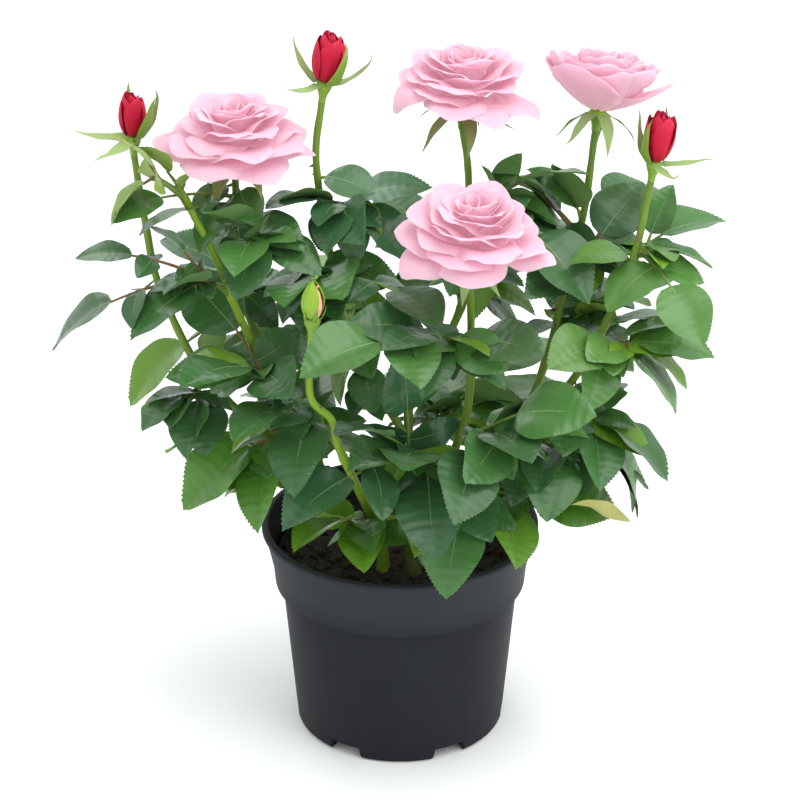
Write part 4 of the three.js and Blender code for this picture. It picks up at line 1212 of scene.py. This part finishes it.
def grow_finer(shoots):
    """Side leaflets that the solids leave out, and finer leaves, where there is room for them.
    A mass with a side size of its own keeps all its side leaflets."""
    room = Room([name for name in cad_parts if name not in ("pot", "compost")])
    for name, shoot in shoots.items():
        low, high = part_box(name)
        box = (np.array(low) / MM, np.array(high) / MM)
        for leaf in shoot["leaves"]:
            for leaflet in leaf["spare"]:
                if "side_size" in MASSES[name] or is_clear(*coarse_blade(leaflet), room, name):
                    leaf["leaflets"].append(leaflet)
        count = MASSES[name]["finer"]
        for k in range(count):
            share = between(FINER_PLACES, (k + 0.5) / count)
            leaf = finer_leaf(shoot, FINER_FIRST + k, share, room, box)
            if leaf:
                shoot["leaves"].append(leaf)


def grow_placed(shoots, paths):
    """The leaves of the table, each just where it says."""
    placed = [(name, bearer, *leaf) for name, bearer, leaves in PLACED_LEAVES for leaf in leaves]
    for number, (name, bearer, share, tip, longest, count) in enumerate(placed):
        start = paths[bearer].along(share) if bearer in paths else shoots[bearer]["curve"].at(share)
        leaf = plan_leaf(start, np.array(tip, float), Dice(PLACED_SEED + number), longest)
        leaf["leaflets"] = leaf["leaflets"][:count]
        shoots[name]["leaves"].append(leaf)


# Leaves as meshes

SHOOT_RIND, STALK_GREEN, STALK_RED, RIB_PALE = range(4)
REDDISH_SHARE = 0.2
LEAF_SMOOTHING = 70
SHOOT_SIDES = 9
STALK_SIDES = 7


def blade_shares():
    """Where the rows of a leaflet lie, and which of them are the tips of teeth."""
    pitch = (1 - 2 * TEETH_BEGIN) / TEETH
    shares, is_tooth = [], []
    for tooth in range(TEETH):
        shares += [TEETH_BEGIN + tooth * pitch, TEETH_BEGIN + (tooth + 0.5) * pitch]
        is_tooth += [0, 1]
    shares.append(1 - TEETH_BEGIN)
    is_tooth.append(0)
    return np.array(shares), np.array(is_tooth), pitch


BLADE_SHARES, BLADE_TEETH, TOOTH_PITCH = blade_shares()
LEAFLET_FACES = blade_faces(len(BLADE_SHARES) + 1, BLADE_COLUMNS, 2)


def half_width(shares, taper):
    return BLADE_WIDTH * np.sin(math.pi * shares ** 0.78) ** (0.62 + taper * shares)


def leaflet_points(leaflet, size, dice):
    """A leaflet's points: toothed rim, raised panels between its veins, fold, droop and twist."""
    length = leaflet["length"] * size * between(BLADE_SIZES, dice.roll())
    face = turned_about(leaflet["face"], leaflet["along"], dice.about(BLADE_TILT))
    fold = LEAFLET_FOLD + dice.roll() ** 2 * BLADE_FOLD
    droop = dice.within(*BLADE_DROOPS)
    twist = dice.about(BLADE_TWIST) + leaflet.get("twist", 0)
    bend = dice.about(BLADE_BEND)
    ripple = dice.within(*BLADE_RIPPLES)
    phase = dice.roll() * 6.28
    slim = dice.within(*BLADE_SLIMNESS) * leaflet.get("slim", 1)
    taper = dice.within(*BLADE_TAPERS)
    s = BLADE_SHARES[:, None]
    v = np.linspace(-1, 1, BLADE_COLUMNS + 1)[None]
    width = half_width(s, taper) * slim
    rim = np.abs(v) > 0.999
    tooth = BLADE_TEETH[:, None] * rim
    teeth = np.sign(v) * tooth * TOOTH_HEIGHT * np.minimum(1, 9 * (1 - s) + 0.3)
    side = v * width * (1 + 0 * s) + teeth
    along = s + tooth * TOOTH_SWEEP * TOOTH_PITCH + 0 * v
    veins = s * VEIN_COUNT - 1.5 * np.abs(v) * width / BLADE_WIDTH
    panels = 0.5 + 0.5 * np.cos(2 * math.pi * veins)
    bulge = np.sin(math.pi * np.abs(v)) * (0.006 + VEIN_RELIEF * panels) * np.minimum(1, width / 0.12)
    wave = ripple * np.sin(2 * math.pi * 2.3 * s + phase + v * 1.2) * v ** 2
    lift = leaflet_sag(s) + fold * np.abs(side) + bulge + wave - droop * s ** 3 * (1.4 - s)
    top = np.stack([side + bend * s ** 2, along, lift + 0 * v], axis=-1)
    middle = top[:, BLADE_COLUMNS // 2].copy()
    middle[:, 2] -= 0.012
    sag_tip = leaflet_sag(1) - droop * 0.4
    ends = np.array([[0, 0, 0], [bend, 1.0, sag_tip]])
    shape = np.concatenate([ends, top.reshape(-1, 3), middle])
    turn = twist * shape[:, 1]
    sag = leaflet_sag(shape[:, 1])
    x = shape[:, 0] * np.cos(turn) - (shape[:, 2] - sag) * np.sin(turn)
    z = shape[:, 0] * np.sin(turn) + (shape[:, 2] - sag) * np.cos(turn)
    z += sag
    across = np.cross(leaflet["along"], face)
    offsets = x[:, None] * across + shape[:, 1][:, None] * leaflet["along"] + z[:, None] * face
    placed = leaflet["root"] + length * offsets
    return placed, placed[2:-len(BLADE_SHARES)].reshape(len(BLADE_SHARES), -1, 3)


def add_midrib(heap, leaflet, rows):
    """The pale rib down the middle of a leaflet, which stands a little proud on both sides."""
    middle = rows[:, BLADE_COLUMNS // 2][::3]
    line = np.concatenate([[leaflet["root"]], middle])
    shares = np.linspace(0, 1, len(line))
    radii = leaflet["length"] * (0.012 - 0.010 * shares)
    add_tube(heap, line - leaflet["face"] * leaflet["length"] * 0.004, radii, 5, RIB_PALE)


def make_leaves(shoots):
    """The blades, one joined piece for each mass, and all twigs, stalks and ribs as another."""
    finishes = {}
    for tone, shades in LEAF_TONES.items():
        finishes[tone] = []
        for number, sides in enumerate([*shades, LIME_TONE]):
            finishes[tone] += leaf_sides(f"{tone}_{number}", *sides)
    twigs = Heap()
    for name, shoot in shoots.items():
        dice, tint = Dice(BLADE_SEED + shoot["number"]), Dice(LIME_SEED + shoot["number"])
        mass = MASSES[name]
        tone = mass["tone"]
        shades = len(LEAF_TONES[tone])
        blades = Heap()
        add_shoot(twigs, shoot, STALK_GREEN if tone == "young" else SHOOT_RIND)
        for place, leaf in enumerate(shoot["leaves"]):
            shade = int(dice.roll() * shades) * 2
            if place >= len(mass["tips"]) and tint.roll() < LIME_SHARE:
                shade = shades * 2
            is_red = dice.roll() < mass.get("reddish", REDDISH_SHARE)
            add_stalk(twigs, leaf, STALK_RED if is_red else STALK_GREEN)
            for number, leaflet in enumerate(leaf["leaflets"]):
                size = mass.get("side_size", 1) if number else 1
                points, rows = leaflet_points(leaflet, size, dice)
                blades.add(points, LEAFLET_FACES, shade)
                add_midrib(twigs, leaflet, rows)
        blades.piece(name + "_blades", finishes[tone], "leaf", [name], LEAF_SMOOTHING)
    make_withered_leaf(twigs)
    kinds = [
        bark_finish("shoot_rind", (0.10, 0.15, 0.03), (0.14, 0.23, 0.035), (0.08, 0.14, 0.02)),
        bark_finish("stalk_green", (0.14, 0.22, 0.05), (0.19, 0.29, 0.06), (0.12, 0.20, 0.04)),
        bark_finish("stalk_red", (0.18, 0.10, 0.04), (0.24, 0.11, 0.05), (0.14, 0.13, 0.04)),
        leaf_finish("rib_pale", (0.20, 0.32, 0.12), 0.45),
    ]
    twigs.piece("twigs_and_ribs", kinds, "stem", list(shoots))


def make_withered_leaf(twigs):
    """A narrow yellowed leaf that has twisted and curled, low on the right."""
    foot, root, tip = WITHERED_LEAF
    along = unit(tip - root)
    leaflet = {"root": root, "along": along, "face": square_to(UP, along), "slim": 0.42, "twist": 2.4,
               "length": np.linalg.norm(tip - root) / BLADE_SIZES[1]}
    heap = Heap()
    points, rows = leaflet_points(leaflet, 1, Dice(WITHERED_SEED))
    heap.add(points, LEAFLET_FACES)
    add_midrib(twigs, leaflet, rows)
    stalk = Bow(foot, (foot + root) / 2 + UP * 2, root + along)
    add_tube(twigs, line_of(stalk, np.linspace(0, 1, 8)), np.full(8, 0.55), STALK_SIDES, STALK_RED)
    finishes = leaf_sides("withered", (0.30, 0.30, 0.05), (0.40, 0.40, 0.12))
    heap.piece("withered_leaf_blades", finishes, "leaf", [], LEAF_SMOOTHING)


def add_shoot(heap, shoot, kind):
    shares = np.linspace(0, 1, 12)
    line = line_of(shoot["curve"], shares)
    radii = SHOOT_RADIUS * (1 - 0.2 * shares) * (1 + 0.05 * np.sin(shares * 21))
    radii = radii + 0.5 * np.exp(-(shares / 0.06) ** 2)
    add_tube(heap, line, radii, SHOOT_SIDES, kind)


def add_stalk(heap, leaf, kind):
    shares = np.linspace(0, leaf["end"], 10)
    line = line_of(leaf["curve"], shares)
    part = shares / leaf["end"]
    radii = RACHIS_RADIUS * (0.86 - 0.3 * part) + 0.7 * np.exp(-(part / 0.08) ** 2)
    add_tube(heap, line, radii, STALK_SIDES, kind)


# Flowers

def flower_places(paths):
    places = {}
    for name, flower in {**BLOOMS, **BUDS}.items():
        axis = unit(np.array([*flower["lean"], 1.0]))
        seat = paths[flower["cane"]].along(1) + axis * SEAT_GAP
        places[name] = {"axis": axis, "seat": seat, "base": seat + axis * (HIP_HEIGHT + GAP)}
    return places


def stood(points, axis, spot):
    """Points modelled round +Z at the origin, put in their place on a flower's axis."""
    cross = np.cross(UP, axis)
    size = np.linalg.norm(cross)
    if size > 1e-9:
        angle = math.atan2(size, np.dot(UP, axis))
        pivot = cross / size
        points = (points * math.cos(angle) + np.cross(pivot, points) * math.sin(angle)
                  + np.outer(points @ pivot, pivot) * (1 - math.cos(angle)))
    return points + spot


PETAL_U = np.sin(np.linspace(0, 1, PETAL_ROWS + 1)[1:-1] * math.pi / 2)
PETAL_V = np.linspace(-1, 1, PETAL_COLUMNS + 1)
PETAL_FACES = blade_faces(PETAL_ROWS, PETAL_COLUMNS, PETAL_COLUMNS)


def eased(values, first, last):
    share = np.clip((values - first) / (last - first), 0, 1)
    return share * share * (3 - 2 * share)


def bent_line(angles):
    """How far out and how high a line comes that bends through these angles."""
    def summed(parts):
        return np.concatenate([[0], np.cumsum(parts[1:] + parts[:-1]) / 2 / (len(parts) - 1)])

    return summed(np.cos(angles)), summed(np.sin(angles))


def two_sided(u_rows, v_columns):
    """Where the points of a closed blade lie along and across it, and which are on its outside."""
    inner_u = np.repeat(u_rows, len(v_columns) - 2)
    inner_v = np.tile(v_columns[1:-1], len(u_rows))
    u = np.concatenate([[0, 1], np.repeat(u_rows, len(v_columns)), inner_u])
    v = np.concatenate([[0, 0], np.tile(v_columns, len(u_rows)), inner_v])
    is_outer = np.zeros(len(u))
    is_outer[-len(inner_u):] = 1
    return u, v, is_outer


BEND_SHARES = np.linspace(0, 1, 41)
PETAL_GRID = two_sided(PETAL_U, PETAL_V)


def petal_width(u, blunt):
    foot = 0.24 + 0.76 * np.sin(math.pi / 2 * np.minimum(u / 0.64, 1))
    return foot * np.sqrt(1 - np.maximum(0, (u - 0.5) / 0.5) ** blunt)


def petal_points(petal, dice):
    """A petal's points and its tints. Its sides roll back, which draws its tip to a point."""
    turned = (petal["ends"] - petal["begins"]) * BEND_SHARES ** petal["when"]
    angles = (petal["begins"] + turned) * RAD
    run, climb = bent_line(angles)
    u, v, is_outer = PETAL_GRID
    length, width = petal["length"], petal["width"]
    side = v * width * petal_width(u, petal["blunt"])
    spread = np.abs(side) / width
    rolled = eased(spread, 0.34, 1.0) * eased(u, 0.22, 0.8)
    far = u * (1 + petal["point"] * np.exp(-(side / width / 0.26) ** 2) * u ** 5)
    angle = np.interp(u, BEND_SHARES, angles)
    past = (far - u) * length
    radius = petal["foot_radius"] + length * np.interp(u, BEND_SHARES, run) + past * np.cos(angle)
    height = petal["foot"] + length * np.interp(u, BEND_SHARES, climb) + past * np.sin(angle)
    rim = 1 - (1 - np.abs(v) ** 4) * (1 - u ** 8)
    phase = dice.roll() * 6.28
    wave = petal["wave"] * length * np.sin(side / length * 8 + phase) * eased(u, 0.3, 1)
    ripple = np.sin(side / length * 19 + phase * 2) * rim
    wave += petal["wave"] * 0.6 * length * ripple * eased(u, 0.5, 1)
    out = petal["side_roll"] * width * rolled ** 1.5
    out = out + petal["tip_roll"] * length * eased(u, 0.62, 1.15) ** 2
    out = out + wave + petal["spiral"] * v * eased(u, 0, 0.4)
    out = out + is_outer * PETAL_THICKNESS * (1 - rim ** 4)
    out = out - petal["cup"] * length * spread ** 2 * (1 - rolled) * np.sin(math.pi * u)
    side = side * (1 - 0.35 * petal["side_roll"] * rolled)
    radius = radius + np.sin(angle) * out
    height = height - np.cos(angle) * out
    wrap = np.maximum(radius, petal["wrap"])
    turn = petal["turn"] + side / wrap
    points = np.stack([radius * np.cos(turn), radius * np.sin(turn), height], axis=-1)
    reach = np.clip(np.maximum(u, spread * 0.7 + u * 0.3), 0, 1)
    return points, np.stack([reach, np.full(len(u), petal["depth"])], axis=-1)


def stage_value(stops, share):
    return float(np.interp(share, [stop[0] for stop in stops], [stop[1] for stop in stops]))


# The petals of a rose from its outside at 0 to its heart at 1: their length in shares of the
# bloom's radius, their half width in shares of their length, and the angles above the level
# at which they begin and end
OPEN_ROSE = {
    "length": [(0, 0.94), (0.3, 0.87), (0.6, 0.75), (1, 0.62)],
    "width": [(0, 0.66), (0.5, 0.64), (0.75, 0.56), (1, 0.44)],
    "begins": [(0, 26), (0.3, 50), (0.6, 74), (1, 86)],
    "ends": [(0, -18), (0.2, 4), (0.4, 34), (0.6, 66), (0.8, 84), (1, 96)],
}
CUPPED_ROSE = {
    "length": [(0, 0.98), (0.4, 0.82), (1, 0.62)],
    "width": [(0, 0.60), (0.5, 0.56), (1, 0.44)],
    "begins": [(0, 22), (0.4, 42), (1, 84)],
    "ends": [(0, 66), (0.3, 73), (0.6, 84), (1, 94)],
}
PETALS_IN_RINGS = [5, 5, 5, 5, 5, 5, 4, 4]
# Petals of each rose that stand out by themselves: where they point, in degrees, their length
# and half width in shares of the bloom's radius, and the angles at which they begin and end
LONE_PETALS = {
    "bloom_left": [(-6, 0.94, 0.34, 22, -8), (-58, 0.92, 0.56, 24, -22), (178, 0.95, 0.36, 26, 2)],
    "bloom_top": [(200, 1.24, 0.44, 66, -66), (-32, 1.14, 0.44, 30, -22), (-100, 1.02, 0.56, 40, -26),
                  (-66, 1.06, 0.46, 36, -30)],
    "bloom_front": [(-92, 0.98, 0.54, 48, -34), (-150, 1.04, 0.46, 42, -36), (-16, 1.02, 0.38, 32, -6)],
    "bloom_right": [(-10, 1.02, 0.46, 18, 50), (-75, 0.94, 0.48, 24, 68), (200, 1.08, 0.50, 28, 76)],
}


# How else a rose's petals change from the outside at 0 to the heart at 1, and between which
# shares chance then changes them: it alone says how blunt their tips are
RING_STAGES = {
    "when": [(0, 1.5), (0.6, 2.0), (1, 2.4)],
    "foot": [(0, -0.6), (0.5, 2.6), (1, 4.5)],
    "foot_radius": [(0, 2.8), (0.5, 3.4), (0.8, 2.6), (1, 0.8)],
    "blunt": [(0, 1)],
    "point": [(0, 0.06), (0.6, 0.04), (1, 0.02)],
    "wave": [(0, 0.020), (1, 0.012)],
    "side_roll": [(0, 0.22), (0.5, 0.24), (0.8, 0.14), (1, 0.05)],
    "tip_roll": [(0, 0.10), (0.5, 0.22), (0.8, 0.16), (1, 0.05)],
    "cup": [(0, 0.16), (0.5, 0.08), (1, 0)],
    "spiral": [(0, 0.5), (0.5, 0.9)],
    "depth": [(0, 0), (1, 1)],
}
RING_CHANCES = {"when": (0.8, 1.2), "blunt": (2.1, 3.0), "point": (0, 1.6), "side_roll": (0.5, 1.5),
                "tip_roll": (0.3, 1.6)}
INNERMOST_WRAP = 3.2
LONE_PETAL_STAGE = 0.02


def staged(stages, t):
    return {key: stage_value(stops, t) for key, stops in stages.items()}


def changed(petal, chances, dice):
    for key, shares in chances.items():
        petal[key] *= dice.within(*shares)
    return petal


def ring_petal(bloom, t, size, dice):
    """A rose's petal from its length, half width, first and last angle, and the way it points."""
    radius = bloom["radius"]
    petal = staged(RING_STAGES, t)
    petal.update(zip(("length", "width", "begins", "ends", "turn"), size))
    wraps = [(0, radius * 0.5), (0.4, radius * 0.36), (0.7, radius * 0.22), (1, INNERMOST_WRAP)]
    petal["wrap"] = stage_value(wraps, t)
    petal["side_roll"] *= bloom["roll"]
    petal["tip_roll"] *= bloom["roll"]
    return changed(petal, RING_CHANCES, dice)


def bloom_petals(name, bloom, dice):
    """The petals of an open rose, from the outermost to the furled heart."""
    radius = bloom["radius"]
    rose = CUPPED_ROSE if name == "bloom_right" else OPEN_ROSE
    petals = []
    phase = dice.roll()
    for ring, count in enumerate(PETALS_IN_RINGS):
        phase += 0.38 + dice.about(0.1)
        for i in range(count):
            t = (ring + i / count) / len(PETALS_IN_RINGS)
            length = stage_value(rose["length"], t) * radius * dice.within(0.93, 1.05)
            length *= between((1, bloom["heart"]), t)
            width = stage_value(rose["width"], t) * length * dice.within(0.88, 1.08)
            rise = bloom["cup"] * (1 - t)
            begins = stage_value(rose["begins"], t) + rise + dice.about(4)
            ends = stage_value(rose["ends"], t) + rise * 1.5 + dice.about(11 * (1 - t) * bloom["roll"])
            turn = (i + phase) / count * 2 * math.pi + dice.about(0.16)
            petals.append(ring_petal(bloom, t, (length, width, begins, ends, turn), dice))
    for turn, length, width, begins, ends in LONE_PETALS[name]:
        size = (length * radius, width * radius, begins, ends, turn * RAD)
        petals.append(ring_petal(bloom, LONE_PETAL_STAGE, size, dice))
    return petals


# Painted glow, an emission that is no lamp, for the light that comes through the thin petals of the
# roses and of the green bud
PETAL_PAINTED_GLOW = (0.19, 0.105, 0.125)
BLUSH_PAINTED_GLOW = (0.20, 0.09, 0.06)


def petal_sides(name, inside, outside, glow, painted_glow=(0, 0, 0)):
    """Both sides of petals, each with the colours of its foot, body, rim and heart."""
    return [petal_finish(name + "_inside", *inside, glow, painted_glow),
            petal_finish(name + "_outside", *outside, glow, painted_glow)]


def add_petals(heap, petals, flower, dice, kind=0):
    for petal in petals:
        points, tints = petal_points(petal, dice)
        heap.add(stood(points, flower["axis"], flower["base"]), PETAL_FACES, kind, tints)


def make_blooms(places):
    inside = [(0.60, 0.36, 0.23), (0.61, 0.33, 0.405), (0.63, 0.40, 0.475), (0.60, 0.31, 0.37)]
    outside = [(0.60, 0.50, 0.30), (0.61, 0.34, 0.425), (0.63, 0.41, 0.49), (0.60, 0.33, 0.405)]
    pink = petal_sides("petal", inside, outside, 0.6, PETAL_PAINTED_GLOW)
    for number, (name, bloom) in enumerate(BLOOMS.items()):
        dice = Dice(BLOOM_SEED + number)
        heap = Heap()
        add_petals(heap, bloom_petals(name, bloom, dice), places[name], dice)
        heap.piece(name + "_petals", pink, "petal", [name], PETAL_SMOOTHING)


# How a bud's wrapped petals change from the outermost at 0 to the innermost at 1: lengths in
# shares of its height, and half widths, feet and wraps in shares of its radius
BUD_STAGES = {
    "length": [(0, 0.94), (0.4, 1.02), (1, 1.06)],
    "width": [(0, 1.35), (1, 0.9)],
    "begins": [(0, 38), (1, 66)],
    "ends": [(0, 112), (1, 106)],
    "foot_radius": [(0, 0.36), (1, 0.08)],
    "wrap": [(0, 0.7), (1, 0.4)],
    "side_roll": [(0, 0.10), (1, 0)],
    "tip_roll": [(0, 0.10), (1, 0.04)],
    "depth": [(0, 0), (1, 1)],
}
BUD_PETAL = {"when": 0.72, "foot": -0.5, "blunt": 2.6, "point": 0.08, "wave": 0.006, "cup": 0,
             "spiral": 0.4}
BUD_ROLL_CHANCES = {"side_roll": (0.2, 1.4), "tip_roll": (0, 1.6)}
GREEN_BUD_INSIDE = {"radius": 0.78, "height": 0.82}
GREEN_BUD_CLOSE = 14
CLOSED_SEPAL_KIND = 2

# The green bud's sepals, still closed: where each stands, in degrees, with a slit to the right
CLOSED_SEPALS = [50, 102, 154, 202, 248]
CLOSED_SEPAL = {"length": 1.10, "width": 0.90, "begins": 40, "ends": 134, "when": 0.75, "foot": -0.5,
                "foot_radius": 0.34, "wrap": 0.6, "blunt": 1.2, "point": 0.22, "wave": 0.004,
                "side_roll": 0.06, "tip_roll": 0.02, "cup": 0, "spiral": 0.2}


def sized(petal, bud):
    """A bud's petal or closed sepal with its shares turned to lengths."""
    petal["length"] *= bud["height"]
    for key in ("width", "foot_radius", "wrap"):
        petal[key] *= bud["radius"]
    return petal


def bud_petals(bud, close, dice):
    petals = []
    for i in range(BUD_PETAL_COUNT):
        petal = sized({**BUD_PETAL, **staged(BUD_STAGES, i / (BUD_PETAL_COUNT - 1))}, bud)
        petal["length"] *= dice.within(0.97, 1.03)
        petal["ends"] += close + dice.about(4)
        petal["turn"] = i * GOLDEN_ANGLE * RAD + 0.5
        petals.append(changed(petal, BUD_ROLL_CHANCES, dice))
    return petals


def closed_sepals(bud):
    return [sized({**CLOSED_SEPAL, "turn": turn * RAD, "depth": number / len(CLOSED_SEPALS)}, bud)
            for number, turn in enumerate(CLOSED_SEPALS)]


def make_buds(places):
    red = petal_sides(
        "bud",
        [(0.28, 0.010, 0.025), (0.44, 0.003, 0.030), (0.58, 0.022, 0.062), (0.34, 0.003, 0.022)],
        [(0.25, 0.015, 0.02), (0.50, 0.003, 0.030), (0.60, 0.020, 0.055), (0.46, 0.003, 0.028)], 0.08)
    # The green bud's blush has a painted glow, an emission that makes its shaded slit look lit
    blush = petal_sides(
        "blush",
        [(0.80, 0.50, 0.20), (0.84, 0.38, 0.30), (0.88, 0.48, 0.42), (0.84, 0.38, 0.30)],
        [(0.70, 0.60, 0.16), (0.84, 0.42, 0.32), (0.88, 0.48, 0.40), (0.84, 0.42, 0.32)], 0.2, BLUSH_PAINTED_GLOW)
    blush.append(leaf_finish("closed_sepal_inside", (0.26, 0.40, 0.07), 0.5))
    blush.append(leaf_finish("closed_sepal_outside", (0.25, 0.41, 0.030), 0.45))
    for number, (name, bud) in enumerate(BUDS.items()):
        dice = Dice(BUD_SEED + number)
        heap = Heap()
        if name == "bud_front":
            inside = {key: bud[key] * share for key, share in GREEN_BUD_INSIDE.items()}
            add_petals(heap, bud_petals(inside, GREEN_BUD_CLOSE, dice), places[name], dice)
            add_petals(heap, closed_sepals(bud), places[name], dice, CLOSED_SEPAL_KIND)
            heap.piece(name + "_petals", blush, "calyx", [name], PETAL_SMOOTHING)
        else:
            add_petals(heap, bud_petals(bud, 0, dice), places[name], dice)
            heap.piece(name + "_petals", red, "bud", [name], PETAL_SMOOTHING)


# The hip's outline: shares of its height, and of its radius there
HIP_OUTLINE = np.array([[-0.16, 0.42], [0.1, 0.45], [0.3, 0.56], [0.5, 0.74], [0.7, 0.89], [0.86, 0.92],
                        [0.98, 0.8]])
HIP_SIDES = 18
HIP_KIND = 2
OLD_CALYXES = ("calyx_top", "calyx_left")
SEPAL_ROWS = 22
SEPAL_COLUMNS = 6
SEPAL_FACES = blade_faces(SEPAL_ROWS, SEPAL_COLUMNS, SEPAL_COLUMNS)
SEPAL_U = np.linspace(0, 1, SEPAL_ROWS + 1)[1:-1]
SEPAL_V = np.linspace(-1, 1, SEPAL_COLUMNS + 1)
SEPAL_GRID = two_sided(SEPAL_U, SEPAL_V)


def sepal_points(calyx, number, hip_radius, heading, dice):
    """A sepal: a blade that bends from the hip's edge to a long thread-like tip."""
    rise, bend, length = calyx["rise"], calyx["bend"], calyx["length"] * dice.within(0.92, 1.06)
    hook = dice.within(-50, 60) * eased(BEND_SHARES, 0.62, 1.0)
    lift = calyx["lifts"][number] * eased(BEND_SHARES, -0.3, 0.35) + dice.about(5)
    angles = (rise - bend * 0.5 + bend * 2 * BEND_SHARES + hook + lift) * RAD
    run, climb = bent_line(angles)
    u, v, is_outer = SEPAL_GRID
    wide = calyx["wide"] * dice.within(0.88, 1.12)
    width = wide * 1.9 * (u + 0.12) ** 0.45 * (1 - u) ** 1.3
    out = -0.22 * width * v ** 2 + 0.35 * width * np.abs(v) * 0.4
    out = out + is_outer * 0.45 * (1 - v ** 2) * np.sqrt(1 - u)
    out = out + 0.35 * np.sin(u * 14 + v * 2 + dice.roll() * 6) * v ** 2 * (1 - u)
    angle = np.interp(u, BEND_SHARES, angles)
    radius = hip_radius * 0.72 + length * np.interp(u, BEND_SHARES, run) + np.sin(angle) * out
    height = HIP_HEIGHT - 1.0 + length * np.interp(u, BEND_SHARES, climb) - np.cos(angle) * out
    sideways = v * width + dice.about(5.5) * u ** 2.6
    cosine, sine = math.cos(heading), math.sin(heading)
    turn = np.array([[cosine, sine, 0], [-sine, cosine, 0], [0, 0, 1]])
    return np.stack([radius, sideways, height], axis=-1) @ turn


def calyx_finishes(age, inside, outside, hip):
    """The greens of a calyx: both sides of its sepals, and its hip."""
    return [leaf_finish(age + "sepal_inside", inside, 0.6),
            leaf_finish(age + "sepal_outside", outside, 0.5), leaf_finish(age + "hip_green", hip, 0.38)]


def make_calyxes(places):
    green = calyx_finishes("", (0.27, 0.40, 0.13), (0.19, 0.33, 0.04), (0.22, 0.38, 0.04))
    olive = calyx_finishes("old_", (0.22, 0.25, 0.08), (0.15, 0.19, 0.03), (0.14, 0.24, 0.025))
    for number, (name, calyx) in enumerate(CALYXES.items()):
        dice = Dice(CALYX_SEED + number)
        flower = places[calyx["under"]]
        hip_radius = BUD_HIP_RADIUS if calyx["under"] in BUDS else HIP_RADIUS
        heap, hip = Heap(), Heap()
        line = np.outer(HIP_OUTLINE[:, 0] * HIP_HEIGHT, UP)
        add_tube(hip, line, HIP_OUTLINE[:, 1] * hip_radius, HIP_SIDES)
        points = stood(hip.points[0], flower["axis"], flower["seat"])
        heap.add(points, TUBES[(len(line), HIP_SIDES)], HIP_KIND)
        for i in range(SEPAL_COUNT):
            heading = (calyx["turn"] + 360 / SEPAL_COUNT * i) * RAD
            points = sepal_points(calyx, i, hip_radius, heading, dice)
            heap.add(stood(points, flower["axis"], flower["seat"]), SEPAL_FACES)
        finishes = olive if name in OLD_CALYXES else green
        heap.piece(name + "_sepals", finishes, "calyx", [name], smooth_angle=60)


# Floor, light and camera

FLOOR_SIZE = 8
CAMERA_PLACE = (0, -1.0793, 0.6782)
CAMERA_PITCH = 25.409
CAMERA_FOCUS = 117
# Each lamp's name, place, size and power, and where all of them point
LIGHTS = [("overhead", (0.35, -0.15, 1.5), 1.1, 11), ("key", (1.1, -0.9, 1.1), 1.0, 7),
          ("back", (-0.6, 1.2, 1.1), 0.8, 4)]
LIGHT_GOAL = (0, 0, 0.2)
WORLD_LIGHT = 1.06
WORLD_COLOUR = (0.97, 1.0, 1.03, 1)


def make_stage():
    deselect()
    bpy.ops.mesh.primitive_plane_add(size=FLOOR_SIZE)
    floor = bpy.context.object
    floor.name = "floor"
    finish = Finish("floor_white")
    grain = finish.noise(3, 2)
    white = finish.mix(grain, (0.97, 0.97, 0.97), (0.98, 0.98, 0.98))
    floor.data.materials.append(finish.end(Base_Color=white, Roughness=0.9))
    floor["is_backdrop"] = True


def add_light(name, place, size, power):
    light = bpy.data.lights.new(name, "AREA")
    light.shape = "SQUARE"
    light.size = size
    light.energy = power
    lamp = new_object(name, light)
    lamp.location = place
    lamp.rotation_mode = "QUATERNION"
    lamp.rotation_quaternion = (Vector(LIGHT_GOAL) - Vector(place)).to_track_quat("-Z", "Y")


def make_light():
    world = bpy.data.worlds.new("studio")
    bpy.context.scene.world = world
    world.use_nodes = True
    background = world.node_tree.nodes["Background"]
    background.inputs["Color"].default_value = WORLD_COLOUR
    background.inputs["Strength"].default_value = WORLD_LIGHT
    for light in LIGHTS:
        add_light(*light)
    bpy.context.scene.view_settings.view_transform = "Standard"


def make_camera():
    data = bpy.data.cameras.new("camera")
    data.lens = CAMERA_FOCUS
    data.sensor_width = 36
    data.clip_start = 0.01
    data.clip_end = 50
    camera = new_object("camera", data)
    camera.location = CAMERA_PLACE
    camera.rotation_euler = ((90 - CAMERA_PITCH) * RAD, 0, 0)
    bpy.context.scene.camera = camera


def write_sizes():
    boxes = {"cad": cad_box, "visual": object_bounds()}
    {name: [list(corner) for corner in box] for name, box in boxes.items()}


def make_plant():
    make_pot()
    make_compost()
    paths = limb_paths()
    make_limbs(paths)
    make_prickles(paths)
    places = flower_places(paths)
    make_blooms(places)
    make_buds(places)
    make_calyxes(places)
    make_leaves(grow_masses(paths))


make_plant()
make_camera()
make_stage()
make_light()
write_sizes()
